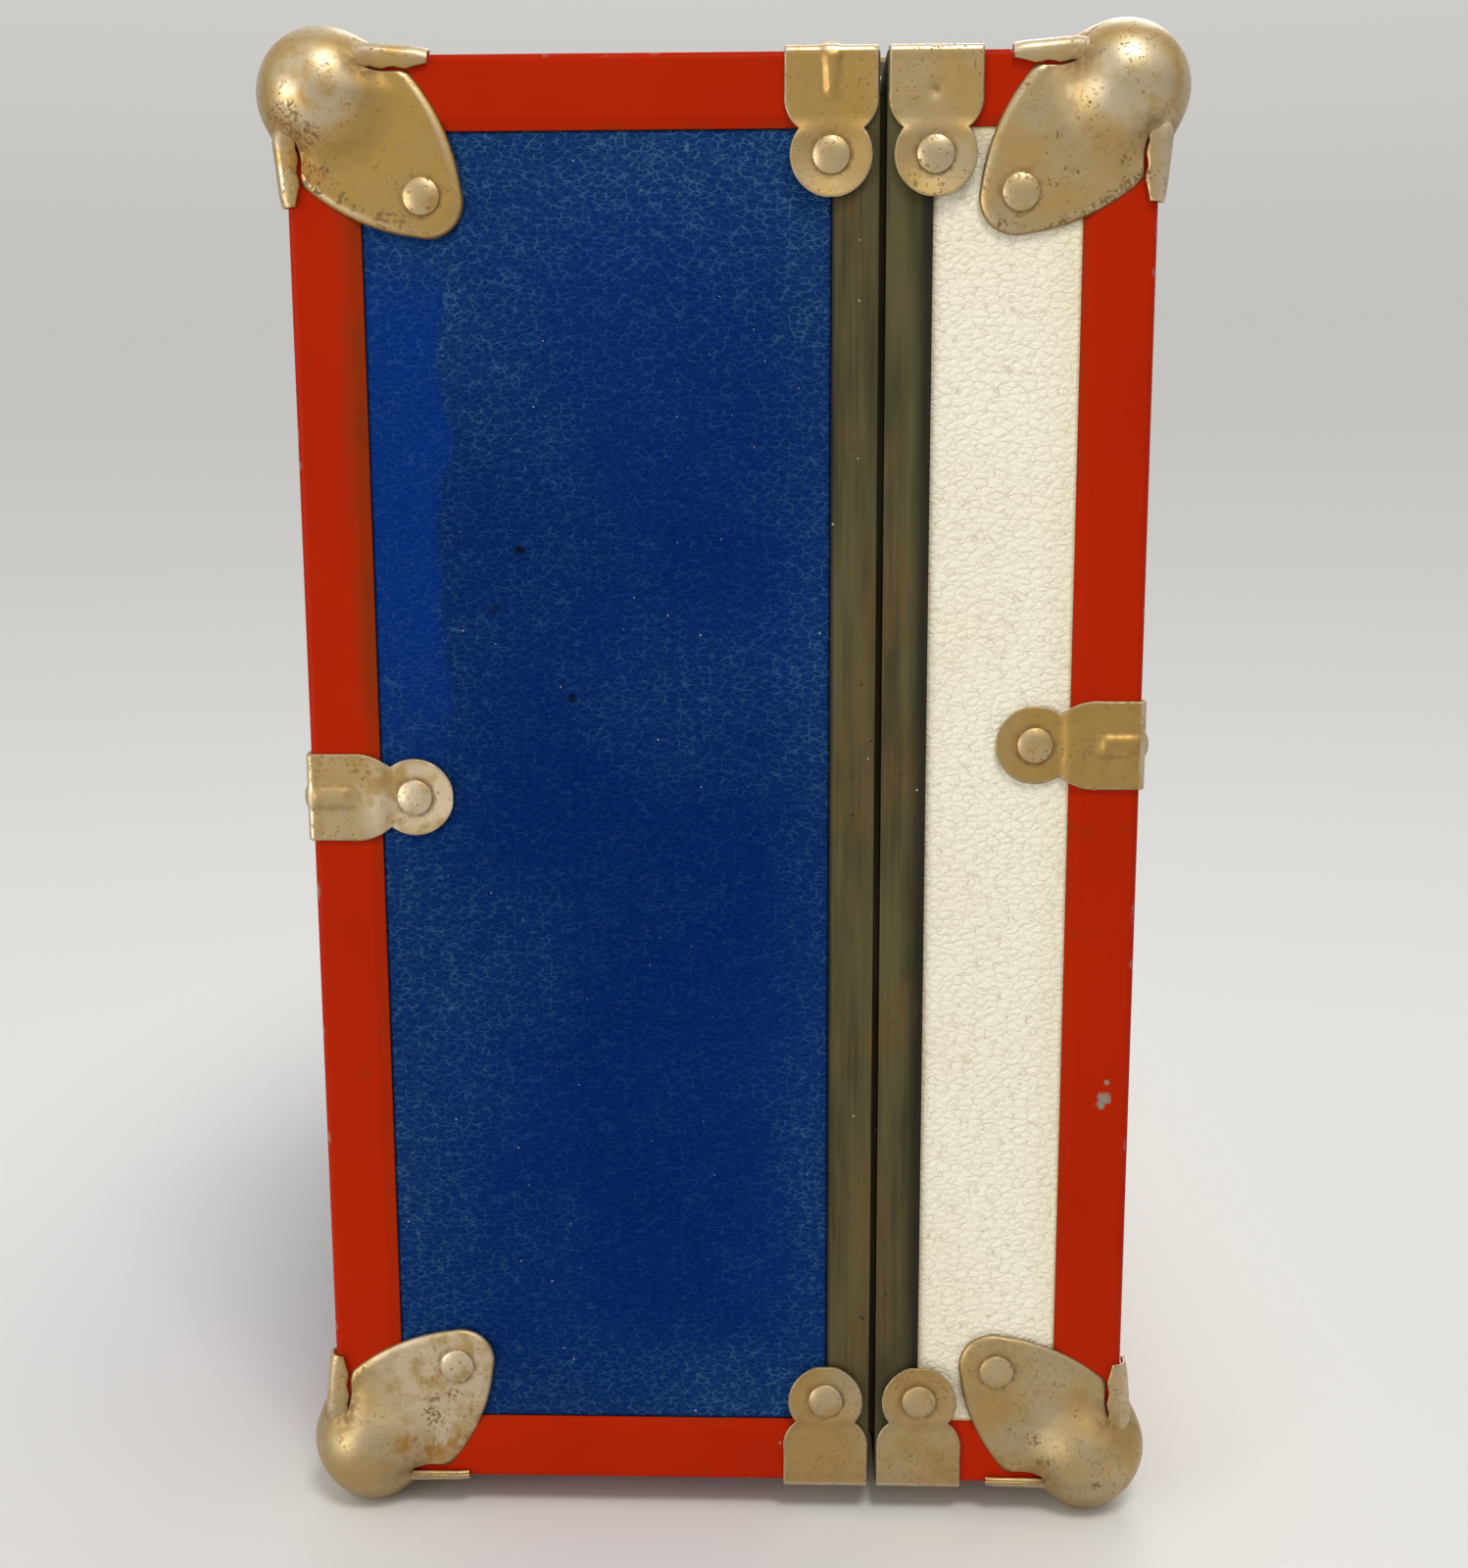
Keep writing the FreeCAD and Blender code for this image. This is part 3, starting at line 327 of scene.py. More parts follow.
    def spot(self, x: float, z: float, radius: float, rough: float = 0.6) -> Value:
        """One ragged blot on the near end, 1 inside and 0 outside."""
        flat = self.vector("MULTIPLY", self.place(), (1.0, 0.0, 1.0))
        distance = self.vector("DISTANCE", flat, (x, 0.0, z), output="Value")
        ragged = distance + (self.noise(radius, 3.0) - 0.5) * (2 * rough * radius)
        near = self.axes()[1].over(CASE.low[1] + NEAR_FADE[1], CASE.low[1] + NEAR_FADE[0])
        return (1 - ragged.over(radius * 0.5, radius * 1.1)) * near

    def bump(self, height: Value, depth: float, normal: Optional[Value] = None) -> Value:
        """Normal bent by a height of 0 to 1 that stands for a depth in millimetres."""
        inputs = {"Height": height, "Distance": depth * MM}
        if normal is not None:
            inputs["Normal"] = normal
        return self.add("ShaderNodeBump", "Normal", {}, inputs)

    def rounded(self, radius: float) -> Value:
        """Normal that softens sharp edges by a radius in millimetres."""
        return self.add("ShaderNodeBevel", "Normal", {"samples": 4}, {"Radius": radius * MM})


class Surface(Graph):
    """Material with one principled shader."""

    def __init__(self, name: str) -> None:
        """Make an empty material of that name."""
        self.material = bpy.data.materials.new(name)
        self.material.use_nodes = True
        super().__init__(self.material.node_tree)

    def close(self, sockets: dict[str, Any]) -> bpy.types.Material:
        """Add the shader and its output.

        Args:
            sockets: Values or links of the shader's sockets.

        Returns:
            The finished material.
        """
        plain = {k: (*v, 1.0) if isinstance(v, tuple) else v for k, v in sockets.items()}
        shader = self.add("ShaderNodeBsdfPrincipled", 0, {}, plain)
        output = self.tree.nodes.new("ShaderNodeOutputMaterial")
        self.tree.links.new(shader.socket, output.inputs["Surface"])
        return self.material


@dataclass(frozen=True)
class Leathercloth:
    """Grain that both vinyl cloths share: pebbles parted by creases, longer across than high."""

    grain: float = 2.0
    stretch: Triple = (1.35, 1.35, 1.0)
    crease: float = 0.15
    relief: float = 0.14

    def creases(self, g: Surface) -> tuple[Value, Value]:
        """Pattern of the grain.

        Args:
            g: Material being made.

        Returns:
            Creases, 1 in a crease, and the height of the pebbles from 0 to 1.
        """
        drift = g.add("ShaderNodeTexNoise", "Color", {},
                      {"Vector": g.place(), "Scale": 0.9 / self.grain, "Detail": 2.0})
        offset = g.vector("MULTIPLY", g.vector("SUBTRACT", drift, (0.5,) * 3), (self.grain * 0.9,) * 3)
        bent = g.vector("ADD", g.place(), offset)
        coarse = g.cells(self.grain, "DISTANCE_TO_EDGE", self.stretch, bent)
        fine = g.cells(self.grain * 0.55, "DISTANCE_TO_EDGE", self.stretch, bent)
        lines = (1 - coarse.over(0.0, self.crease)).at_least((1 - fine.over(0.0, self.crease)) * 0.45)
        return lines, coarse.over(0.0, 0.34) * 0.75 + fine.over(0.0, 0.34) * 0.25

    def tucked_shade(self, g: Surface) -> Value:
        """Painted shade, with some dirt, where the cloth runs under the bindings and seam strips: 1 at their
        edges, 0 away.
        """
        x = g.axes()[0]
        strips = abs(x - sum(CASE.seam) / 2) - (CASE.seam[1] - CASE.seam[0]) / 2
        inset = (g.edge_distance() - CASE.binding).at_most(strips)
        return 1 - (inset + g.noise(3, 3.0, shift=2.0) * 0.5).over(0.2, 1.2)


@dataclass(frozen=True)
class BlueVinyl(Leathercloth):
    """Deep blue cloth: pale creases, hazy patches, white specks, a few dark spots and painted shade along the
    bindings and seam strips.
    """

    grain: float = 1.25
    stretch: Triple = (1.9, 1.9, 1.0)
    crease: float = 0.10
    navy: Colour = (0.0002, 0.0135, 0.100)
    royal: Colour = (0.0003, 0.0240, 0.178)
    haze: Colour = (0.006, 0.036, 0.105)
    pale: Colour = (0.050, 0.135, 0.250)
    fluff: Colour = (0.50, 0.53, 0.58)
    soot_and_shade: Colour = (0.003, 0.003, 0.004)
    spots: tuple[tuple[float, float, float, float], ...] = (
        (-42.9, 219.6, 1.3, 0.85), (-48.4, 207.2, 1.2, 0.40), (-32.0, 187.9, 1.2, 0.70))

    def material(self) -> bpy.types.Material:
        """Make the cloth."""
        g = Surface("blue_vinyl_worn")
        x, _, z = g.axes()
        creases, pebbles = self.creases(g)
        cloud = g.noise(70, 3.0)
        worn = g.noise(40, 4.0, shift=3.1)
        side = (x + g.noise(24, 2.0, shift=8.0) * 14 - 7).over(-58.0, -60.5)
        fresh = side * z.over(154.0, 204.0) * (1 - z.over(266.0, 288.0))
        colour = g.mix(cloud.over(0.35, 0.8) * 0.4, self.navy, self.royal)
        colour = g.mix(fresh * 0.85, colour, self.royal)
        # Paler haze towards the bindings, the seam strips and the top, and in patches.
        border = g.edge_distance().over(46.0, 15.0) * 0.5 + x.over(6.0, 22.0) * 0.4
        border = border + z.over(210.0, 300.0) * 0.35
        hazed = (border + worn.over(0.42, 0.72) * 0.35).at_most(1.0) * (1 - fresh * 0.8)
        colour = g.mix(hazed * 0.5, colour, self.haze)
        dashes = g.noise(1.4, 2.0, (1.4, 1.4, 1.0), 5.0).over(0.40, 0.62)
        colour = g.mix(creases * (0.3 + dashes * 0.7) * (0.14 + hazed * 0.70), colour, self.pale)
        dots = g.specks(2.3, 0.20, 0.22) * (0.35 + worn.over(0.35, 0.65) * 0.65)
        colour = g.mix(dots * 0.75, colour, self.fluff)
        for *spot, strength in self.spots:
            colour = g.mix(g.spot(*spot, 1.0) * strength, colour, self.soot_and_shade)
        # Painted shade, with some dirt, along the bindings and seam strips.
        colour = g.mix(self.tucked_shade(g) * 0.9, colour, self.soot_and_shade)
        height = pebbles + g.noise(14, 3.0) * 1.2
        rough = 0.46 + worn * 0.16 + creases * 0.1
        return g.close({"Base Color": colour, "Roughness": rough, "Specular IOR Level": 0.02,
                        "Normal": g.bump(height, self.relief)})


@dataclass(frozen=True)
class CreamVinyl(Leathercloth):
    """Off-white cloth: fine brown creases, yellowed towards its borders and the top, with painted shade along
    the bindings and seam strips.
    """

    grain: float = 1.55
    stretch: Triple = (1.6, 1.6, 1.0)
    crease: float = 0.085
    relief: float = 0.17
    white: Colour = (0.88, 0.835, 0.68)
    yellow: Colour = (0.74, 0.63, 0.38)
    brown: Colour = (0.44, 0.37, 0.23)
    stain_and_shade: Colour = (0.50, 0.36, 0.16)

    def material(self) -> bpy.types.Material:
        """Make the cloth."""
        g = Surface("cream_vinyl_worn")
        z = g.axes()[2]
        creases, pebbles = self.creases(g)
        cloud = g.noise(60, 4.0)
        aged = cloud.over(0.45, 0.8) * 0.35 + z.over(240.0, 320.0) * 0.3
        aged = aged + g.edge_distance().over(24.0, 15.0) * 0.3
        colour = g.mix(aged, self.white, self.yellow)
        dashes = g.noise(1.6, 2.0, (1.4, 1.4, 1.0), 4.0).over(0.40, 0.62)
        colour = g.mix(creases * (0.16 + dashes * 0.44), colour, self.brown)
        blots = g.noise(16, 5.0, shift=9.0).over(0.68, 0.82) * 0.4 + g.specks(16.0, 0.5, 0.3) * 0.5
        colour = g.mix(blots, colour, self.stain_and_shade)
        # Painted shade, with some dirt, along the bindings and seam strips.
        colour = g.mix(self.tucked_shade(g) * 0.7, colour, self.stain_and_shade)
        height = pebbles + g.noise(9, 2.0) * 1.2
        return g.close({"Base Color": colour, "Roughness": 0.46 + cloud * 0.16, "Specular IOR Level": 0.22,
                        "Normal": g.bump(height, self.relief)})


@dataclass(frozen=True)
class RedEnamel:
    """Red paint on steel strip: brown staining at the inner rim, painted shade on the inner part of the left
    band, scratches and chips to the metal.
    """

    red: Colour = (0.425, 0.0165, 0.0006)
    deep: Colour = (0.35, 0.0120, 0.0005)
    brown: Colour = (0.150, 0.034, 0.004)
    steel: Colour = (0.30, 0.27, 0.21)
    chips: Spots = ((83.4, 99.5, 1.5), (82.6, 98.2, 1.1), (83.9, 103.4, 0.6))

    def material(self) -> bpy.types.Material:
        """Make the paint."""
        g = Surface("red_enamel_worn")
        x, _, z = g.axes()
        edge = g.edge_distance()
        cloud = g.noise(46, 4.0)
        streak = g.noise(5, 3.0, (1, 9, 9), 2.0)
        colour = g.mix(cloud.over(0.35, 0.8) * 0.5 + streak * 0.15, self.red, self.deep)
        patchy = g.noise(26, 4.0, shift=6.0)
        inset = CASE.binding - edge
        spread = 1.6 + z.over(120.0, 290.0) * 3.2 + patchy * 2.6
        # The left band darkens to brown towards its inner edge as painted shade; every band's inner rim
        # carries a brown stain.
        wide = (1 - (inset / spread).over(0.1, 1.3)) * x.over(-70.0, -74.0)
        wide = wide * (0.35 + z.over(110.0, 230.0) * 0.65)
        rim = (1 - (inset + g.noise(9, 4.0, shift=1.0) * 3).over(1.2, 3.6)) * 0.5
        dirt_and_shade = wide.at_least(rim * patchy.over(0.36, 0.62))
        colour = g.mix(dirt_and_shade * (0.35 + patchy.over(0.3, 0.7) * 0.4), colour, self.brown)
        smudge = g.noise(12, 5.0, shift=7.0).over(0.66, 0.80) * 0.5 + g.specks(9.0, 0.45, 0.3) * 0.6
        colour = g.mix(smudge, colour, self.brown)
        corner = (1 - edge.over(0.2, 1.3)) * g.noise(5, 5.0, shift=2.0).over(0.62, 0.72)
        flecks = g.specks(13.0, 0.4, 0.35)
        bare = corner.at_least(flecks)
        for chip in self.chips:
            bare = bare.at_least(g.spot(*chip, 0.9))
        colour = g.mix(bare, colour, self.steel)
        height = (1 - bare) + cloud * 1.5 + streak * 0.3
        return g.close({"Base Color": colour, "Roughness": 0.34 + dirt_and_shade * 0.3 + streak * 0.1,
                        "Metallic": bare * 0.8, "Specular IOR Level": 0.04,
                        "Normal": g.bump(height, 0.06, g.rounded(0.35))})


@dataclass(frozen=True)
class SeamSteel:
    """Bare rolled steel of the seam strips: dark olive grey with long streaks, rust and dust, and painted
    shade in black along their outer edges.
    """

    grey: Colour = (0.112, 0.097, 0.040)
    dark: Colour = (0.044, 0.039, 0.016)
    rust: Colour = (0.115, 0.070, 0.024)
    black: Colour = (0.012, 0.011, 0.009)
    dust: Colour = (0.50, 0.48, 0.42)

    def material(self) -> bpy.types.Material:
        """Make the steel."""
        g = Surface("seam_steel_rolled")
        x = g.axes()[0]
        streak = g.noise(0.7, 3.0, (1, 40, 40))
        broad = g.noise(5, 2.0, (1, 8, 8), 4.0)
        cloud = g.noise(26, 5.0, (0.5, 1, 1), 2.0)
        colour = g.mix(streak.over(0.25, 0.75) * 0.35 + broad.over(0.3, 0.7) * 0.65, self.dark, self.grey)
        rusty = cloud.over(0.46, 0.66) * (0.4 + streak.over(0.35, 0.65) * 0.6)
        colour = g.mix(rusty * 0.8, colour, self.rust)
        low, high = CASE.seam
        # Painted shade in black along the strips' outer edges, where they meet the vinyl.
        edge_shade = x.over(high - 4.4, high - 0.8).at_least(1 - x.over(low, low + 1.0))
        colour = g.mix(edge_shade * 0.85, colour, self.black)
        blots = g.noise(1.5, 4.0, shift=6.0).over(0.66, 0.74) * cloud.over(0.45, 0.6)
        colour = g.mix(blots * 0.7, colour, self.black)
        colour = g.mix(g.specks(2.6, 0.28, 0.20) * 0.8, colour, self.dust)
        return g.close({"Base Color": colour, "Metallic": 0.4 - rusty * 0.3,
                        "Roughness": 0.40 + cloud * 0.14, "Specular IOR Level": 0.15,
                        "Normal": g.bump(streak + broad, 0.03, g.rounded(0.3))})


@dataclass(frozen=True)
class NickelPlate:
    """Nickel on pressed steel, dulled by handling: tan tarnish, rust and painted shade in the hollows, pits,
    rubbed edges.
    """

    name: str
    plate: Colour = (0.48, 0.380, 0.225)
    tarnish: Colour = (0.46, 0.310, 0.115)
    golden: Colour = (0.44, 0.270, 0.070)
    faded: Colour = (0.70, 0.575, 0.400)
    rubbed: Colour = (0.64, 0.555, 0.405)
    rust: Colour = (0.190, 0.105, 0.030)
    orange: Colour = (0.42, 0.200, 0.035)
    tarnish_share: float = 0.5
    rust_share: float = 0.5
    gilts: Spots = ((-68.0, 298.0, 34.0), (79.0, 178.0, 24.0), (22.0, 312.0, 14.0))
    fades: Spots = ((-60.0, 29.0, 22.0), (-66.0, 166.7, 14.0))
    soften: float = 0.0
    stains: Spots = ()
    stain_spread: float = 1.5
    blooms: Spots = ()

    def material(self) -> bpy.types.Material:
        """Make the plate."""
        g = Surface(self.name)
        dirt_and_shade = g.add("ShaderNodeAttribute", "Fac", {"attribute_name": Wear.SHADE_AND_DIRT.value}, {})
        rub = g.add("ShaderNodeAttribute", "Fac", {"attribute_name": Wear.RUB.value}, {})
        cloud = g.noise(13, 4.0)
        haze = g.noise(4, 4.0, shift=3.0)
        yellow = (cloud + (self.tarnish_share - 0.5)).over(0.34, 0.72)
        colour = g.mix(yellow, self.plate, self.tarnish)
        for gilt in self.gilts:
            colour = g.mix(g.spot(*gilt, 0.3) * 0.8, colour, self.golden)
        for fade in self.fades:
            colour = g.mix(g.spot(*fade, 0.5) * haze.over(0.30, 0.62), colour, self.faded)
        worn = rub * haze.over(0.25, 0.6)
        colour = g.mix(worn * 0.8, colour, self.rubbed)
        colour = g.mix(haze.over(0.42, 0.72) * 0.5, colour, g.mix(0.35, colour, self.rust))
        ragged = g.noise(1.6, 6.0, shift=7.0)
        # Painted shade and dirt from the wear attribute, broken up by noise.
        lodged_dirt_and_shade = dirt_and_shade * (0.35 + ragged.over(0.36, 0.60) * 0.65)
        dirty = g.noise(9, 3.0, shift=5.0).over(0.34, 0.62)
        freckles = g.noise(0.8, 4.0, shift=2.0).over(0.54, 0.68) * dirty
        pits = g.specks(2.0, 0.36, 0.22 * self.rust_share + 0.03)
        brown = lodged_dirt_and_shade.at_least(pits * 0.85).at_least(freckles * (0.25 + 0.6 * self.rust_share))
        speckled = g.noise(0.75, 4.0, shift=9.0).over(0.46, 0.58)
        for x, z, radius in self.stains:
            brown = brown.at_least(g.spot(x, z, radius * self.stain_spread, 0.9) * speckled * 0.95)
        for bloom in self.blooms:
            colour = g.mix(g.spot(*bloom, 0.9) * ragged.over(0.30, 0.58) * 0.85, colour, self.orange)
        # The rust colour here lays on painted shade as well as rust, pits and stains.
        colour = g.mix(brown, colour, self.rust)
        height = haze * 0.5 + cloud * 1.6 - brown * 0.8
        normal = g.rounded(self.soften) if self.soften else None
        return g.close({"Base Color": colour, "Metallic": 1 - brown * 0.8,
                        "Roughness": 0.32 + haze * 0.14 + yellow * 0.05 + brown * 0.30 - worn * 0.05,
                        "Normal": g.bump(height, 0.05, normal)})


@dataclass(frozen=True)
class MouldedPlastic:
    """Black moulded grip plastic with a fine leather grain, greyed where hands rub it."""

    black: Colour = (0.012, 0.012, 0.013)
    grey: Colour = (0.060, 0.058, 0.055)

    def material(self) -> bpy.types.Material:
        """Make the plastic."""
        g = Surface("grip_plastic_grained")
        pebble = g.cells(0.9, "SMOOTH_F1")
        rubbed = g.noise(18, 4.0).over(0.42, 0.72)
        colour = g.mix(rubbed * 0.55 + pebble * 0.15, self.black, self.grey)
        return g.close({"Base Color": colour, "Roughness": 0.50 - rubbed * 0.14,
                        "Normal": g.bump(1 - pebble, 0.10)})


@dataclass(frozen=True)
class LiningPaper:
    """Plain printed lining paper: a linen emboss, faint mottling and foxing."""

    ground: Colour = (0.52, 0.49, 0.42)
    shade: Colour = (0.42, 0.39, 0.32)
    foxing: Colour = (0.33, 0.22, 0.10)

    def material(self) -> bpy.types.Material:
        """Make the paper."""
        g = Surface("lining_paper_linen")
        warp = g.noise(0.55, 2.0, (1, 1, 9))
        weft = g.noise(0.55, 2.0, (9, 9, 1), 3.0)
        cloud = g.noise(50, 5.0)
        weave = (warp + weft) * 0.5
        colour = g.mix(weave.over(0.38, 0.62) * 0.6 + cloud.over(0.4, 0.8) * 0.4, self.ground, self.shade)
        colour = g.mix(g.noise(13, 5.0, shift=5.0).over(0.66, 0.8) * 0.5, colour, self.foxing)
        return g.close({"Base Color": colour, "Roughness": 0.78 + cloud * 0.1, "Specular IOR Level": 0.2,
                        "Normal": g.bump(weave, 0.08)})


@dataclass(frozen=True)
class Plywood:
    """Thin plywood: pale birch with long grain and darker pores."""

    birch: Colour = (0.52, 0.37, 0.21)
    grain: Colour = (0.36, 0.23, 0.11)

    def material(self) -> bpy.types.Material:
        """Make the wood."""
        g = Surface("plywood_birch")
        rings = g.noise(6, 4.0, (1, 1, 14))
        pores = g.noise(0.6, 3.0, (1, 1, 20), 2.0)
        colour = g.mix(rings.over(0.35, 0.7) * 0.7 + pores.over(0.55, 0.75) * 0.3, self.birch, self.grain)
        return g.close({"Base Color": colour, "Roughness": 0.66 + rings * 0.1,
                        "Normal": g.bump(pores, 0.05)})


@dataclass(frozen=True)
class SpringSteel:
    """Blued spring steel with a straw-coloured temper."""

    blue: Colour = (0.10, 0.12, 0.20)
    straw: Colour = (0.36, 0.26, 0.12)

    def material(self) -> bpy.types.Material:
        """Make the steel."""
        g = Surface("spring_steel_blued")
        temper = g.noise(3, 3.0)
        colour = g.mix(temper.over(0.4, 0.65), self.blue, self.straw)
        return g.close({"Base Color": colour, "Metallic": 1.0, "Roughness": 0.28 + temper * 0.12,
                        "Normal": g.bump(temper, 0.01)})


def smooth_min(first: Points, second: Points, blend: Union[Points, float]) -> Points:
    """Smaller of two distances, rounded over a blend width."""
    overlap = np.maximum(blend - np.abs(first - second), 0) / blend
    return np.minimum(first, second) - overlap ** 2 * blend / 4


def smooth_step(low: float, high: float, at: Points) -> Points:
    """Smooth step from 0 at low to 1 at high."""
    share = np.clip((at - low) / (high - low), 0, 1)
    return share ** 2 * (3 - 2 * share)


def bell(at: Points, width: float) -> Points:
    """Bell curve that is 1 at 0 and falls off over a width."""
    return np.exp(-(at / width) ** 2)


def arc_points(start: Sequence[float], middle: Sequence[float], end: Sequence[float], count: int) -> Points:
    """Points on the arc through three points.

    Args:
        start: Where the arc begins; it isn't among the points.
        middle: A point on the way.
        end: Where the arc ends; it is the last of the points.
        count: Number of points.

    Returns:
        The points, one a row.
    """
    a, b, c = (np.array(p, float) for p in (start, middle, end))
    matrix = 2 * np.array([b - a, c - a])
    centre = np.linalg.solve(matrix, [b @ b - a @ a, c @ c - a @ a])
    angles = [math.atan2(*(p - centre)[::-1]) for p in (a, b, c)]
    turn = (angles[2] - angles[0]) % math.tau
    if (angles[1] - angles[0]) % math.tau > turn:
        turn -= math.tau
    steps = angles[0] + turn * np.arange(1, count + 1) / count
    radius = np.linalg.norm(a - centre)
    return centre + radius * np.stack([np.cos(steps), np.sin(steps)], 1)


def line_points(start: Sequence[float], end: Sequence[float], count: int) -> Points:
    """Evenly spaced points after start up to end."""
    share = np.arange(1, count + 1)[:, None] / count
    return np.array(start, float) * (1 - share) + np.array(end, float) * share


def grid_faces(rows: int, columns: int, start: int = 0, closed: bool = False) -> Faces:
    """Quads of a grid of points stored row by row.

    Args:
        rows: Number of rows.
        columns: Points in a row.
        start: Index of the first point.
        closed: Joins the end of each row to its beginning.

    Returns:
        The quads.
    """
    faces: Faces = []
    for row in range(rows - 1):
        here = start + row * columns
        for column in range(columns if closed else columns - 1):
            beside = (column + 1) % columns
            faces.append([here + column, here + beside, here + columns + beside, here + columns + column])
    return faces


class Piece:
    """A new mesh piece that takes the place of CAD nodes and rides on a body."""

    def __init__(self, name: str) -> None:
        """Start an empty piece."""
        self.name = name
        self.points: list[Points] = []
        self.faces: Faces = []
        self.wear: dict[Wear, list[Points]] = {kind: [] for kind in Wear}
        self.count = 0

    def add(self, points: Points, faces: Faces, wear: dict[Wear, Points], flip: bool = False) -> None:
        """Add a patch of faces.

        Args:
            points: Corners in millimetres, one a row.
            faces: Indices into those points.
            wear: Wear at those points, for the kinds that the patch has.
            flip: Turns the faces over, as a mirrored patch needs.
        """
        step = -1 if flip else 1
        self.faces += [[self.count + i for i in face[::step]] for face in faces]
        self.points.append(points)
        for kind, patches in self.wear.items():
            patches.append(wear.get(kind, np.zeros(len(points))))
        self.count += len(points)

    def finish(self, material: bpy.types.Material, body: Body, slot: Slot, gauge: float,
               *replaced: str) -> bpy.types.Object:
        """Make the object.

        Args:
            material: Its finish.
            body: The body that it rides on.
            slot: Not used.
            gauge: Thickness of its sheet in millimetres, or 0 if it is solid already.
            replaced: CAD nodes that it stands for.

        Returns:
            The object.
        """
        mesh = bpy.data.meshes.new(self.name)
        mesh.from_pydata((np.concatenate(self.points) * MM).tolist(), [], self.faces)
        mesh.shade_smooth()
        for kind, patches in self.wear.items():
            layer = mesh.attributes.new(kind.value, "FLOAT", "POINT")
            layer.data.foreach_set("value", np.concatenate(patches).astype(np.float32))
        mesh.materials.append(material)
        piece = bpy.data.objects.new(self.name, mesh)
        bpy.context.scene.collection.objects.link(piece)
        weld = piece.modifiers.new("weld", "WELD")
        weld.merge_threshold = WELD_GAP * MM
        if gauge:
            sheet = piece.modifiers.new("sheet", "SOLIDIFY")
            sheet.thickness = gauge * MM
            sheet.offset = -1.0
        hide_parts(*replaced)
        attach(piece, body.value)
        LOG.info("piece %s rides on %s", self.name, body.value)
        return piece


def dress(material: bpy.types.Material, *nodes: str) -> None:
    """Give CAD nodes a finish."""
    for node in nodes:
        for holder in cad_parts[node].material_slots:
            holder.material = material
        LOG.info("node %s wears %s", node, material.name)


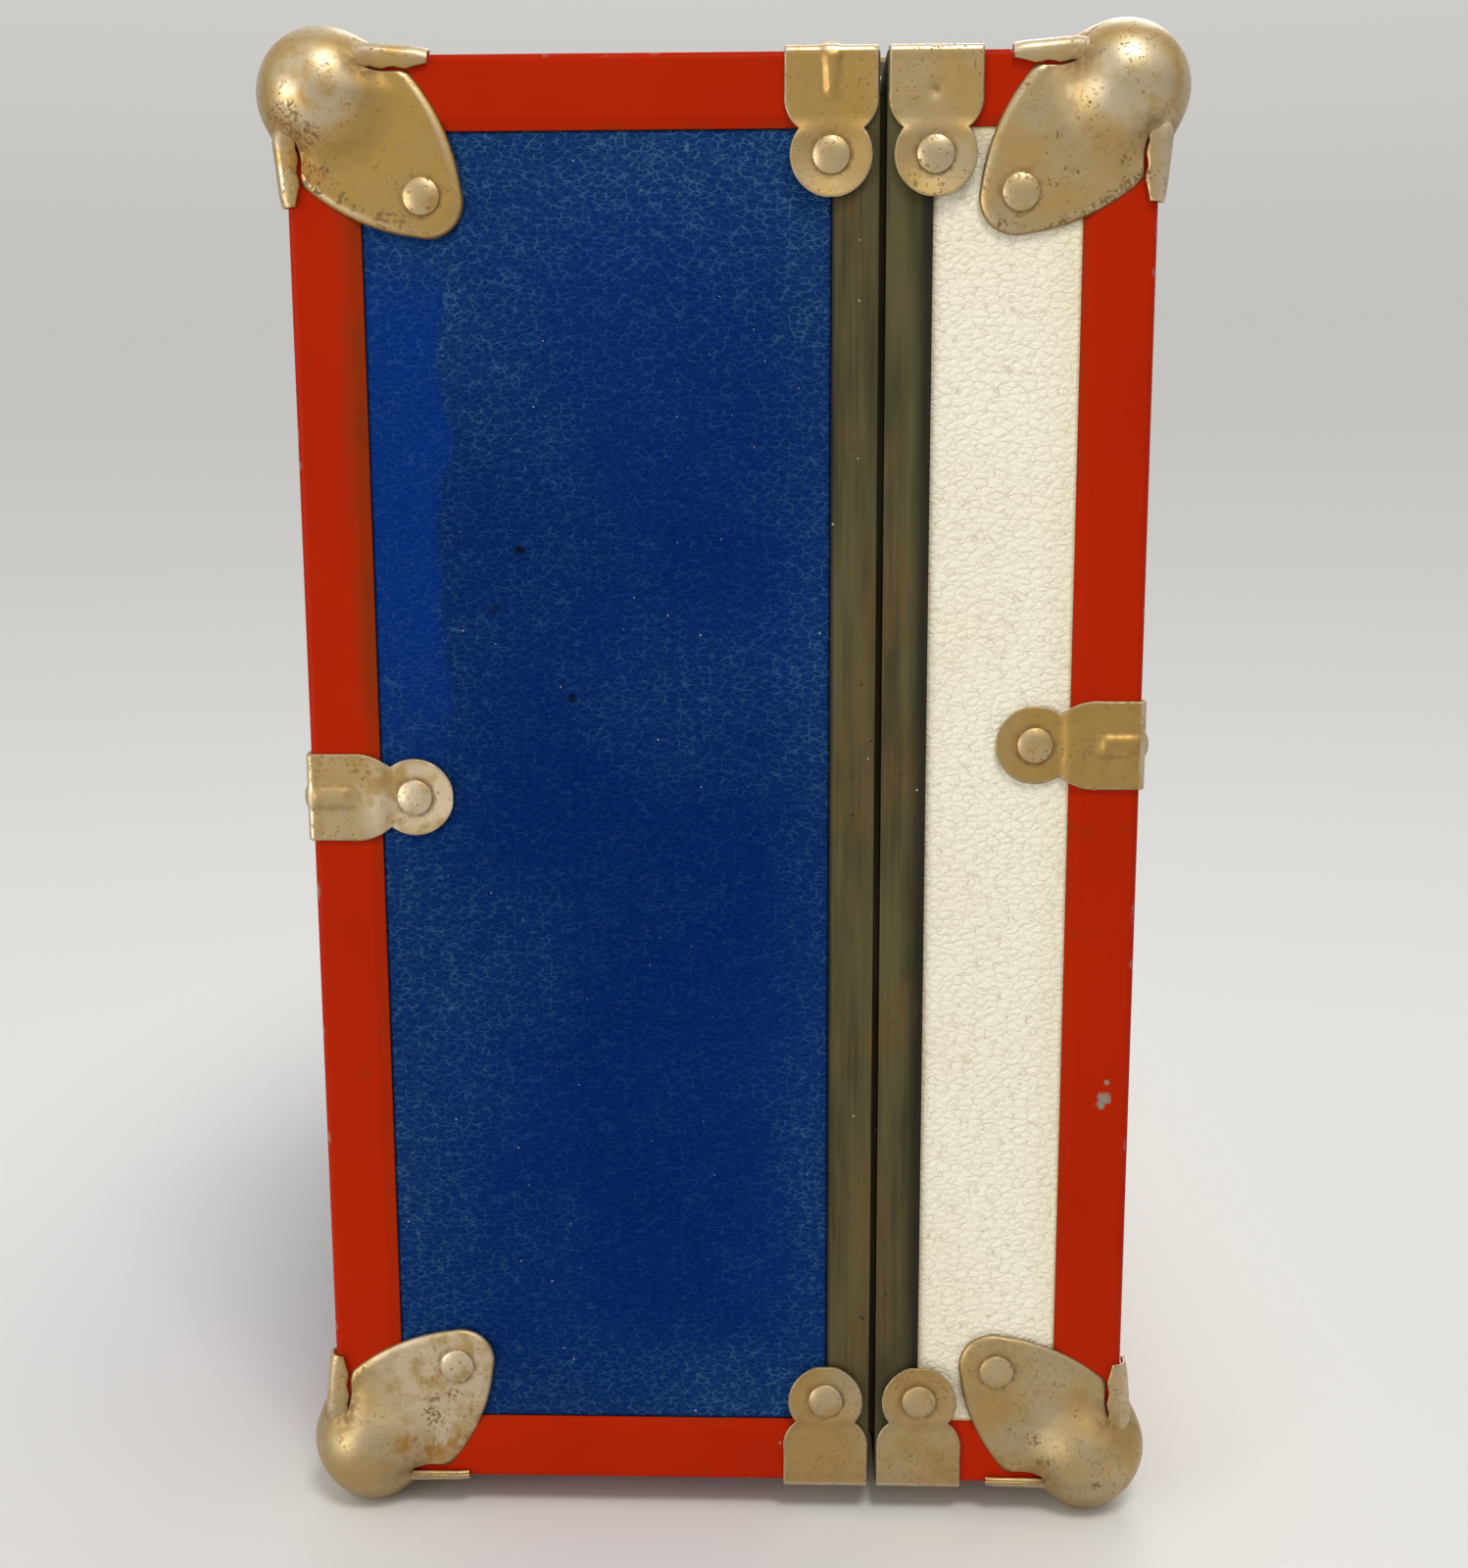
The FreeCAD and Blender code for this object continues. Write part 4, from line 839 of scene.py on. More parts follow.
@dataclass(frozen=True)
class BallCorners:
    """Eight pressed corners: a ball that flows into three riveted petals, slit and turned over the edges."""

    gauge: float = 0.9
    ball_radius: float = 13.65
    ball_inset: float = 7.0
    edge_radius: float = 2.6
    edge_blend: float = 2.5
    face_blend: float = 6.0
    face_run: tuple[float, float] = (1.5, 8.0)
    joined: float = 16.5
    slit: float = 3.3
    slit_root: tuple[float, float] = (17.6, 3.4)
    slit_ease: float = 1.8
    leaf_root: float = 25.6
    bulge: tuple[float, float] = (32.6, 14.0)
    shoulder: tuple[float, float] = (36.2, 27.0)
    tip_bow: tuple[float, float] = (36.0, 31.6)
    tip: float = 34.3
    rivet: float = 28.0
    rivet_edge: float = 4.2
    rim_width: float = 1.9
    rim_drop: float = 0.75
    rim_ring: float = 0.25
    rim_power: float = 1.6
    rings: int = 26
    ring_ease: float = 0.6
    focus: float = 24.0
    cast: tuple[float, float] = (0.5, 1.8)
    cast_steps: int = 36
    flange_start: float = 11.0
    flange_rise: float = 6.5
    flange_end: float = 30.0
    flange_drop: float = 2.9
    flange_lap: float = 4.6
    flange_taper: float = 0.75
    flange_lifts: Triple = (2.0, 1.2, 2.4)
    flange_wave: tuple[float, float] = (0.25, 1.3)
    flange_tail: tuple[float, ...] = (0.4, 0.8, 1.0)
    bend_ease: float = 0.4
    bend_power: float = 0.8
    hug: float = 0.55
    tuck: float = 0.35
    end_run: float = 3.0
    end_steps: tuple[float, ...] = (2.2, 1.5, 0.9, 0.4, 0.1, 0.0)
    end_dip: float = 0.3
    end_shorten: float = 0.45
    end_narrow: float = 1.2
    trodden_lift: float = 0.5
    trodden_drop: float = 1.7
    worn_floor: float = 0.0
    sag: float = 1.1
    sag_reach: tuple[float, float] = (6.0, 13.0)
    low_rub: float = 0.1

    def depth(self, p: Points) -> Points:
        """Signed distance to the pressed outside, negative inside, at points of the corner's octant."""
        out = -p - self.gauge + self.edge_radius
        block = np.linalg.norm(np.maximum(out, 0), axis=1) + np.minimum(out.max(axis=1), 0) - self.edge_radius
        centre = np.full(3, self.ball_inset)
        on_face = smooth_step(*self.face_run, np.sort(p, axis=1)[:, 1])
        blend = self.edge_blend + (self.face_blend - self.edge_blend) * on_face
        return smooth_min(block, np.linalg.norm(p - centre, axis=1) - self.ball_radius, blend)

    def outline(self) -> tuple[Points, Points]:
        """Border of one petal's share of the pressing.

        Returns:
            Points in the petal's plane, and how free of its neighbours the sheet is at each.
        """
        slit_end = (self.slit_root[0] + self.slit_ease, self.slit)
        apex = (-self.gauge, -self.gauge)
        half = [
            (line_points(apex, (self.joined, -self.gauge), 16), 0.0),
            (line_points((self.joined, -self.gauge), self.slit_root, 4), 0.5),
            (line_points(self.slit_root, slit_end, 3), 0.8),
            (line_points(slit_end, (self.leaf_root, self.slit), 6), 1.0),
            (arc_points((self.leaf_root, self.slit), self.bulge, self.shoulder, 18), 1.0),
            (arc_points(self.shoulder, self.tip_bow, (self.tip, self.tip), 7), 1.0),
        ]
        points = np.concatenate([span for span, _ in half])
        free = np.concatenate([np.full(len(span), share) for span, share in half])
        back = np.concatenate([points[:-1][::-1, ::-1], [apex]])
        return np.concatenate([points, back]), np.concatenate([free, free[:-1][::-1], [0.0]])

    def pressed(self, plane: Points) -> Points:
        """Points of the pressed outside over points of a petal's plane, as seen from inside the case."""
        foot = np.column_stack([plane, np.full(len(plane), -self.gauge)])
        start = np.full(3, self.focus)
        low, high = (np.full(len(foot), share) for share in self.cast)
        for _ in range(self.cast_steps):
            middle = (low + high) / 2
            inside = self.depth(start + (foot - start) * middle[:, None]) < 0
            low = np.where(inside, middle, low)
            high = np.where(inside, high, middle)
        return start + (foot - start) * low[:, None]

    def petal(self) -> Patch:
        """One petal with its third of the ball, on the plane across the octant's third axis."""
        border, free = self.outline()
        centre = np.full(2, self.ball_inset)
        reach = np.linalg.norm(border - centre, axis=1)
        rows = [centre[None, :]]
        inset = [reach.max(keepdims=True)]
        for ring in range(1, self.rings + 2):
            share = np.minimum(ring / (self.rings + self.ring_ease), 1 - self.rim_ring / reach)
            if ring == self.rings + 1:
                share = np.ones(len(border))
            rows.append(centre + (border - centre) * share[:, None])
            inset.append((1 - share) * reach)
        plane = np.concatenate(rows)
        inset = np.concatenate(inset)
        loose = np.concatenate([[0.0], np.tile(free, self.rings + 1)])
        points = self.pressed(plane)
        points[:, 2] += self.rim_drop * loose * np.clip(1 - inset / self.rim_width, 0, 1) ** self.rim_power
        count = len(border)
        faces = [[0, 1 + (i + 1) % count, 1 + i] for i in range(count)]
        faces += grid_faces(self.rings + 1, count, 1, closed=True)
        wear = self.petal_wear(plane, inset, loose)
        rise = -points[:, 2] - self.gauge
        wear[Wear.RUB] = np.maximum(wear[Wear.RUB], 0.85 * smooth_step(1.5, 4.5, rise))
        # Painted shade in the hollow where the ball flows into the petal.
        wear[Wear.SHADE_AND_DIRT] = np.maximum(wear[Wear.SHADE_AND_DIRT], 0.30 * bell(rise - 1.0, 0.9))
        return points, faces, wear

    def petal_wear(self, plane: Points, inset: Points, loose: Points) -> dict[Wear, Points]:
        """Painted shade and dirt round the rivet, dirt in the slit roots, darker under the rim, and a rubbed
        line along the rim.
        """
        ring = np.hypot(*(plane - self.rivet).T) - self.rivet_edge
        roots = [np.hypot(*(plane - np.array(root)).T) for root in (self.slit_root, self.slit_root[::-1])]
        shade_and_dirt = [0.85 * bell(ring, 0.7), 0.95 * bell(np.minimum(*roots), 3.6), 0.5 * loose * bell(inset, 0.5)]
        rub = loose * bell(inset - self.rim_width * 0.75, 0.5)
        return {Wear.SHADE_AND_DIRT: np.maximum.reduce(shade_and_dirt), Wear.RUB: rub}

    def flange_section(self, at: float, proud: float, hang: float) -> list[tuple[float, float]]:
        """Section of a turned-over strip, from its lap on the petal to its edge on the next face.

        Args:
            at: Place along the edge.
            proud: How far the strip stands off the sheet beside it.
            hang: How far it reaches down the next face.

        Returns:
            Distances in from the next face and from the petal's face.
        """
        share = (at - self.flange_start) / (self.flange_end - self.flange_start)
        end = max(0.0, at - self.flange_end + self.end_run) / self.end_run
        risen = smooth_step(self.flange_start, self.flange_start + self.flange_rise, at)
        lift = self.gauge + proud * risen * (1 - self.flange_taper * share) - self.end_dip * end ** 2
        height, pace = self.flange_wave
        drop = hang * (1 - self.end_shorten * end ** 2) + height * math.sin(at * pace)
        lap = self.flange_lap - self.end_narrow * end ** 2
        middle = self.edge_radius - self.gauge + self.bend_ease
        round_off = middle + lift
        closest = -self.gauge - self.hug * (lift - self.gauge)
        section = [(across, -lift) for across in np.linspace(lap, middle, 4)]
        for turn in np.linspace(0, math.pi / 2, 9)[1:]:
            across = middle - round_off * math.sin(turn) ** self.bend_power
            section.append((max(across, closest), middle - round_off * math.cos(turn) ** self.bend_power))
        tail = section[-1][0]
        return section + [(tail + self.tuck * part ** 2, middle + (drop - middle) * part)
                          for part in self.flange_tail]

    def flange(self, proud: float, hang: float) -> Patch:
        """Strip that the third axis's petal turns over the edge along the first axis, onto the second's face.

        Args:
            proud: How far it stands off the sheet beside it.
            hang: How far it reaches down the second axis's face.

        Returns:
            Its points, faces and wear.
        """
        along = np.concatenate([np.linspace(self.flange_start, self.flange_end - self.end_run, 14),
                                self.flange_end - np.array(self.end_steps)])
        rows = [(at, *point) for at in along for point in self.flange_section(at, proud, hang)]
        columns = len(rows) // len(along)
        down = np.tile(np.linspace(0, 1, columns), len(along))
        root = bell(np.repeat(along, columns) - self.slit_root[0], 2.5)
        # Darker towards the slit root and along the strip's hanging edge: painted shade and dirt.
        wear = {Wear.SHADE_AND_DIRT: 0.7 * root * down + 0.5 * (down > 0.99), Wear.RUB: bell(down - 0.5, 0.2)}
        return np.array(rows), grid_faces(len(along), columns), wear

    def build(self, material: bpy.types.Material) -> None:
        """Make the eight corners."""
        for half, x_sign, body in (("body", -1, Body.CASE), ("lid", 1, Body.LID)):
            for end, y_sign in (("near", -1), ("far", 1)):
                for level, z_sign in (("bottom", -1), ("top", 1)):
                    self.one(f"{half}_corner_{end}_{level}", (x_sign, y_sign, z_sign), body, material)

    def one(self, node: str, signs: tuple[int, int, int], body: Body, material: bpy.types.Material) -> None:
        """Make one corner.

        Args:
            node: The CAD node that it stands for.
            signs: Sides of the case that meet there, along X, Y and Z.
            body: The body that it rides on.
            material: Its finish.
        """
        petal, faces, wear = self.petal()
        apex = np.array([CASE.plane(axis, sign) for axis, sign in enumerate(signs)])
        inward = -np.array(signs, float)
        mirrored = inward.prod() < 0
        ball = apex + inward * self.ball_inset
        piece = Piece(node + "_pressed")
        wear[Wear.RUB] = wear[Wear.RUB] * (1.0 if signs[2] > 0 else self.low_rub)
        for turn in range(3):
            piece.add(self.worn(apex + inward * np.roll(petal, turn, axis=1), ball), faces, wear, mirrored)
        for order in ((0, 1, 2), (1, 0, 2), (2, 1, 0)):
            trodden = signs[2] < 0 and order[0] != 2
            proud = self.trodden_lift if trodden else self.flange_lifts[order[0]]
            hang = self.trodden_drop if trodden else self.flange_drop
            strip, strip_faces, strip_wear = self.flange(proud, hang)
            turned = np.empty_like(strip)
            turned[:, order] = strip
            odd = order != (0, 1, 2)
            piece.add(self.worn(apex + inward * turned, ball), strip_faces, strip_wear, mirrored == odd)
        piece.finish(material, body, Slot.NICKEL, self.gauge, node)

    def worn(self, points: Points, ball: Points) -> Points:
        """Points with the ball of a lower corner pressed out to its worn standing flat.

        Args:
            points: Points of the corner.
            ball: Middle of its ball.

        Returns:
            The points, none below the floor.
        """
        kept = points.copy()
        away = np.hypot(*(points - ball)[:, :2].T)
        low = 1 - smooth_step(self.worn_floor, CASE.low[2] + self.ball_inset, points[:, 2])
        kept[:, 2] -= self.sag * low * (1 - smooth_step(*self.sag_reach, away))
        kept[:, 2] = np.maximum(kept[:, 2], self.worn_floor)
        return kept


@dataclass(frozen=True)
class Clamp:
    """Keyhole clamp bent over an edge: two lobed legs, each dished round its rivet."""

    lobe: float
    stepped: bool
    mark: Mark
    gauge: float = 0.9
    width: float = 19.0
    shoulder: float = 8.3
    shoulder_bow: float = 0.8
    waist: float = 13.2
    lobe_radius: float = 8.4
    bend_radius: float = 1.5
    step_at: float = CASE.binding + 0.3
    step_run: float = 2.0
    rib_length: float = 9.4
    rib_height: float = 0.8
    rib_half: float = 2.1
    rib_taper: float = 0.5
    rib_curve: tuple[float, float] = (2.6, 0.8)
    rib_start: tuple[float, float] = (-0.9, 1.5)
    rib_fall: float = 1.8
    dish: float = 0.85
    dish_run: tuple[float, float] = (7.5, 3.0)
    dish_ease: float = 0.4
    rivet_edge: float = 4.2
    edge_roll: float = 0.15
    dent_at: float = 8.0
    dent_depth: float = 0.45
    dent_spread: float = 1.6

    def stations(self) -> tuple[Points, Points]:
        """Distances from the edge along a leg, from its lobe to the bend, with the half width at each."""
        half, waist = self.width / 2, self.waist / 2
        neck = math.sqrt(self.lobe_radius ** 2 - waist ** 2)
        last = math.pi - math.asin(waist / self.lobe_radius)
        angles = np.concatenate([[0.12, 0.2], np.linspace(0.3, last, 20)])
        lobe = np.stack([self.lobe_radius * np.sin(angles), self.lobe + self.lobe_radius * np.cos(angles)], 1)
        neck_at = self.lobe - neck
        bow = ((half + waist) / 2 + self.shoulder_bow, (self.shoulder + neck_at) / 2 + self.shoulder_bow)
        flank = arc_points((waist, neck_at), bow, (half, self.shoulder), 8)
        strap = line_points((half, self.shoulder), (half, self.bend_radius - self.gauge), 14)
        path = np.concatenate([lobe, flank, strap])
        return path[:, 1], path[:, 0]

    def lift(self, along: Points, across: Points) -> Points:
        """Height of the sheet's outside over the case's face."""
        height = np.full(np.broadcast(along, across).shape, self.gauge)
        if self.stepped:
            height = height - self.gauge * smooth_step(self.step_at, self.step_at + self.step_run, along)
        radius = np.hypot(along - self.lobe, across)
        on_lobe = smooth_step(self.lobe - self.dish_run[0], self.lobe - self.dish_run[1], along)
        out = radius - self.rivet_edge + self.dish_ease
        cup = np.clip(out / (self.lobe_radius - self.rivet_edge), 0, 1)
        return height + self.dish * cup * on_lobe + self.pressing(along, across)

    def pressing(self, along: Points, across: Points) -> Points:
        """Extra height of a rib, or depth of a dent, near the bend."""
        if self.mark is Mark.RIB:
            half = self.rib_half * (1 - self.rib_taper * np.clip(along / self.rib_length, 0, 1))
            profile = np.clip(1 - np.abs(across / half) ** self.rib_curve[0], 0, 1) ** self.rib_curve[1]
            profile = profile * smooth_step(*self.rib_start, along)
            fall = smooth_step(self.rib_length - self.rib_fall, self.rib_length, along)
            return self.rib_height * profile * (1 - fall)
        if self.mark is Mark.DENT:
            away = (along - self.dent_at) ** 2 + across ** 2
            return -self.dent_depth * np.exp(-away / self.dent_spread)
        return np.zeros(np.broadcast(along, across).shape)

    def leg_wear(self, along: Points, across: Points, half: float) -> dict[Wear, Points]:
        """Painted shade and dirt round the rivet, at the waist, along the edges, near the bend and beside the
        pressing, and rubbed edges.
        """
        radius = np.hypot(along - self.lobe, across)
        waist = self.lobe - self.lobe_radius * 0.7
        inset = half - np.abs(across)
        shade_and_dirt = [0.8 * bell(radius - self.rivet_edge, 0.6), 0.30 * bell(along - waist, 1.4),
                0.45 * bell(inset, 0.9), 0.40 * bell(along - 1.8, 1.2)]
        if self.mark is Mark.RIB:
            reach = np.hypot(np.maximum(along - self.rib_length + 1.2, 0), across) - self.rib_half * 0.8
            shade_and_dirt.append(0.6 * bell(reach - 0.5, 0.45))
        if self.mark is Mark.DENT:
            shade_and_dirt.append(0.9 * np.exp(-((along - self.dent_at) ** 2 + across ** 2) / 0.9))
        return {Wear.SHADE_AND_DIRT: np.maximum.reduce(shade_and_dirt), Wear.RUB: bell(inset, 0.35)}

    def sheet(self) -> Patch:
        """Outside of the clamp in its edge's frame: along the edge, in from one face, in from the other."""
        share = np.concatenate([[-1, -0.965], np.linspace(-0.93, 0.93, 35), [0.965, 1]])
        roll = self.edge_roll * (np.abs(share) > 0.99)
        leg: list[Points] = []
        wear: list[dict[Wear, Points]] = []
        for at, wide in zip(*self.stations()):
            across = share * wide
            along = np.full_like(across, at)
            leg.append(np.column_stack([across, along, roll - self.lift(along, across)]))
            wear.append(self.leg_wear(along, across, wide))
        leg[0][:, 2] += self.edge_roll
        middle = self.bend_radius - self.gauge
        across = share * self.width / 2
        radius = self.bend_radius + self.pressing(np.zeros_like(across), across) - roll
        bend = [np.column_stack([across, middle - radius * math.sin(turn), middle - radius * math.cos(turn)])
                for turn in np.linspace(0, math.pi / 2, 8)[1:-1]]
        bent = {Wear.RUB: np.ones(len(share)), Wear.SHADE_AND_DIRT: np.zeros(len(share))}
        rows = leg + bend + [row[:, [0, 2, 1]] for row in leg[::-1]]
        worn = wear + [bent] * len(bend) + wear[::-1]
        kinds = {kind: np.concatenate([row[kind] for row in worn]) for kind in Wear}
        return np.concatenate(rows), grid_faces(len(rows), len(share)), kinds


@dataclass(frozen=True)
class ClampSets:
    """Clamps of both halves: a pair of rows by the seam, and one halfway along each closed edge."""

    seam_lobe: float = 20.5
    edge_lobe: float = 22.5
    back_height: float = 159.1
    front_height: float = 170.6

    def halves(self) -> list[tuple[str, int, Body, float, float]]:
        """Name, side, body, middle of the seam clamps and height of the edge clamps of each half."""
        found = []
        for half, x_sign, body, height in (("body", -1, Body.CASE, self.back_height),
                                           ("lid", 1, Body.LID, self.front_height)):
            low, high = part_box(f"{half}_seam_clamps")
            found.append((half, x_sign, body, (low.x + high.x) / 2 / MM, height))
        return found

    def place(self, piece: Piece, clamp: Clamp, along: int, signs: tuple[int, int], position: float) -> None:
        """Add a clamp to a piece.

        Args:
            piece: The piece.
            clamp: The clamp's shape.
            along: Axis of the edge.
            signs: Sides of the case that meet in the edge, in the order of the other two axes.
            position: Place along the edge in millimetres.
        """
        first, second = [axis for axis in range(3) if axis != along]
        across = np.zeros(3)
        across[first] = -signs[0]
        down = np.zeros(3)
        down[second] = -signs[1]
        origin = np.zeros(3)
        origin[along] = position
        origin[first] = CASE.plane(first, signs[0])
        origin[second] = CASE.plane(second, signs[1])
        points, faces, wear = clamp.sheet()
        turned = origin + points @ np.array([np.cross(across, down), across, down])
        piece.add(turned, faces, wear)

    def build(self, material: bpy.types.Material) -> None:
        """Make the four sets."""
        ribbed = Clamp(self.edge_lobe, True, Mark.RIB, rib_half=2.5, rib_taper=0.0, dish=0.3)
        for half, x_sign, body, middle, height in self.halves():
            seam = Piece(f"{half}_seam_clamps_pressed")
            edge = Piece(f"{half}_edge_clamps_pressed")
            for y_sign in (-1, 1):
                for z_sign in (-1, 1):
                    upper = Mark.RIB if x_sign < 0 else Mark.DENT
                    mark = upper if z_sign > 0 else Mark.PLAIN
                    clamp = Clamp(self.seam_lobe, False, mark)
                    self.place(seam, clamp, 0, (y_sign, z_sign), middle)
                self.place(edge, ribbed, 2, (x_sign, y_sign), CASE.low[2] + height)
            for z_sign in (-1, 1):
                self.place(edge, ribbed, 1, (x_sign, z_sign), 0.0)
            seam.finish(material, body, Slot.NICKEL, Clamp.gauge, f"{half}_seam_clamps")
            edge.finish(material, body, Slot.NICKEL, Clamp.gauge, f"{half}_edge_clamps")


@dataclass(frozen=True)
class Rivets:
    """Low-domed rivets of the corners and clamps, set by hand, so each sits a little askew."""

    radius: float = 3.85
    side: float = 0.45
    crown: float = 0.75
    dome: float = 2.8
    profile: tuple[float, ...] = (0.12, 0.3, 0.48, 0.64, 0.78, 0.88, 0.95, 0.985, 1.0, 1.0)
    foot: tuple[float, float] = (0.8, -0.2)
    dark_rim_from: float = 0.96
    tilt: float = 2.0
    corner: float = BallCorners.rivet
    gauge: float = BallCorners.gauge
    segments: int = 40
    seed: int = 7

    def head(self, draw: np.random.Generator) -> Patch:
        """One head on the plane across the third axis, seen from its positive side.

        Args:
            draw: Source of the small differences between heads.

        Returns:
            Its points, faces and wear.
        """
        share = np.array(self.profile)
        height = self.side + self.crown * (1 - share ** self.dome)
        height[-2:] = (self.side * self.foot[0], self.foot[1])
        turn = np.arange(self.segments) * math.tau / self.segments
        ring = np.stack([np.cos(turn), np.sin(turn)], 1)
        lean = np.radians(draw.uniform(-self.tilt, self.tilt, 2))
        points = [[0.0, 0.0, self.side + self.crown]]
        dirt_and_shade = [0.0]
        for part, level in zip(share, height):
            flat = ring * part * self.radius
            points += np.column_stack([flat, level + flat @ lean * (level > 0)]).tolist()
            # Painted shade and dirt round the foot of the head.
            dirt_and_shade += [0.7 * float(part > self.dark_rim_from)] * self.segments
        count = self.segments
        faces = [[0, 1 + i, 1 + (i + 1) % count] for i in range(count)]
        for row in range(len(share) - 1):
            here = 1 + row * count
            faces += [[here + i, here + count + i, here + count + (i + 1) % count, here + (i + 1) % count]
                      for i in range(count)]
        rub = np.where(np.array(dirt_and_shade) > 0, 0.0, 0.5)
        return np.array(points), faces, {Wear.SHADE_AND_DIRT: np.array(dirt_and_shade), Wear.RUB: rub}

    def places(self, x_sign: int, clamps: ClampSets, seam: float,
               height: float) -> list[tuple[int, int, Points]]:
        """Where one half's rivets sit.

        Args:
            x_sign: Side of the case that the half is on.
            clamps: Sizes of the clamps.
            seam: Middle of the seam clamps along X.
            height: Middle of the edge clamps on the upright edges.

        Returns:
            For each rivet the axis and side of its face, and its place.
        """
        spots: list[tuple[int, int, Points]] = []

        def add(axis: int, signs: tuple[int, int, int], inset: Sequence[float], lift: float) -> None:
            """Note a rivet by how far in from three sides of the case it sits."""
            spot = np.array([CASE.plane(i, signs[i]) - signs[i] * inset[i] for i in range(3)])
            spot[axis] = CASE.plane(axis, signs[axis]) + signs[axis] * lift
            spots.append((axis, signs[axis], spot))

        x_inset = abs(CASE.plane(0, x_sign) - seam)
        half = CASE.half()
        for y_sign in (-1, 1):
            for z_sign in (-1, 1):
                signs = (x_sign, y_sign, z_sign)
                for axis in range(3):
                    add(axis, signs, (self.corner,) * 3, self.gauge)
                for axis in (1, 2):
                    add(axis, signs, (x_inset, clamps.seam_lobe, clamps.seam_lobe), self.gauge)
        for sign in (-1, 1):
            for axis in (0, 1):
                rise = CASE.high[2] - CASE.low[2] - height
                add(axis, (x_sign, sign, 1), (clamps.edge_lobe, clamps.edge_lobe, rise), 0.0)
            for axis in (0, 2):
                add(axis, (x_sign, 1, sign), (clamps.edge_lobe, half.y, clamps.edge_lobe), 0.0)
        return spots

    def build(self, material: bpy.types.Material, clamps: ClampSets) -> None:
        """Make both halves' rivets."""
        draw = np.random.default_rng(self.seed)
        for half, x_sign, body, seam, height in clamps.halves():
            piece = Piece(f"{half}_rivets_domed")
            for axis, sign, spot in self.places(x_sign, clamps, seam, height):
                points, faces, wear = self.head(draw)
                turned = np.roll(points, axis - 2, axis=1)
                turned[:, axis] *= sign
                piece.add(spot + turned, faces, wear, sign < 0)
            piece.finish(material, body, Slot.NICKEL, 0.0, f"{half}_rivets")


@dataclass(frozen=True)
class Grip:
    """Moulded grip: oval sections that swell to the middle, finger hollows and a mould line."""

    end_share: float = 0.62
    end_round: float = 3.0
    power: float = 2.3
    hollows: int = 4
    hollow_reach: float = 0.74
    hollow_depth: float = 0.9
    hollow_power: float = 1.5
    mould_line: float = 0.14
    mould_band: float = 0.06
    end_cap: float = 0.3
    rows: int = 150
    columns: int = 64

    def section(self, share: float, wide: float, tall: float, length: float) -> Points:
        """Points round the grip at a share of its half length from the middle."""
        turn = np.arange(self.columns) * math.tau / self.columns
        size = 1 - (1 - self.end_share) * share ** 2
        past = max(0.0, abs(share) * length - length + self.end_round) / self.end_round
        size *= self.end_cap + (1 - self.end_cap) * math.sqrt(max(0.0, 1 - past ** 2))
        cos, sin = np.cos(turn), np.sin(turn)
        x = (wide - self.mould_line) * size * np.sign(cos) * np.abs(cos) ** (2 / self.power)
        z = tall * size * np.sign(sin) * np.abs(sin) ** (2 / self.power)
        x += self.mould_line * np.sign(cos) * (np.abs(sin) < self.mould_band)
        wave = 0.5 - 0.5 * math.cos(math.tau * self.hollows * (share / self.hollow_reach + 1) / 2)
        inside = abs(share) < self.hollow_reach
        x += self.hollow_depth * wave * inside * np.clip(-cos, 0, 1) ** self.hollow_power
        return np.column_stack([x, np.full(self.columns, share * length), z])

    def build(self, material: bpy.types.Material) -> None:
        """Make the grip in the space of its CAD node."""
        low, high = (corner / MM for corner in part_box("handle_grip"))
        middle, half = (low + high) / 2, (high - low) / 2
        even = np.linspace(-1, 1, self.rows)
        shares = np.sin(even * math.pi / 2) * 0.5 + even * 0.5
        points = np.concatenate([self.section(share, half.x, half.z, half.y) for share in shares])
        count = self.columns
        faces = grid_faces(self.rows, count, closed=True)
        faces += [list(range(count))[::-1], list(range(len(points) - count, len(points)))]
        piece = Piece("handle_grip_moulded")
        piece.add(points + np.array(middle), faces, {}, True)
        piece.finish(material, Body.HANDLE, Slot.PLASTIC, 0.0, "handle_grip")


@dataclass(frozen=True)
class LockSprings:
    """Folded leaf springs that hold the thumb slides home."""

    gauge: float = 0.35
    limbs: int = 3
    fold: float = 0.97
    clearance: float = 0.03
    travel: float = 4.0
    steps: int = 91

    def leaf(self, low: Vector, high: Vector) -> tuple[Points, Faces]:
        """Zigzag leaf that fills a box.

        Args:
            low: Lower corner of the box in millimetres.
            high: Upper corner of the box.

        Returns:
            Its points and faces.
        """
        turn = np.linspace(-0.5, self.limbs - 0.5, self.steps) * math.pi
        swing = np.arcsin(self.fold * np.sin(turn)) / math.asin(self.fold)
        middle, half = (low + high) / 2, (high - low) / 2
        x = middle.x + swing * (half.x - self.gauge / 2 - self.clearance)
        path = np.column_stack([x, np.linspace(low.y + self.clearance, high.y - self.clearance, self.steps)])
        run = np.gradient(path, axis=0)
        side = run[:, ::-1] * (1, -1) / np.linalg.norm(run, axis=1)[:, None] * self.gauge / 2
        section = ((-1, low.z), (1, low.z), (1, high.z), (-1, high.z))
        corners = [np.column_stack([path + sign * side, np.full(self.steps, z)]) for sign, z in section]
        count = len(section)
        faces = grid_faces(self.steps, count, closed=True)
        last = (self.steps - 1) * count
        faces += [list(range(count))[::-1], list(range(last, last + count))]
        return np.stack(corners, 1).reshape(-1, 3), faces

    def build(self, material: bpy.types.Material) -> None:
        """Make both springs in the space of their CAD nodes."""
        for end in ("near", "far"):
            node = f"{end}_lock_spring"
            low, high = (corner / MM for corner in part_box(node))
            piece = Piece(f"{node}_folded")
            piece.add(*self.leaf(low, high), {})
            spring = piece.finish(material, Body.CASE, Slot.SPRING, 0.0, node)
            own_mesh(spring)


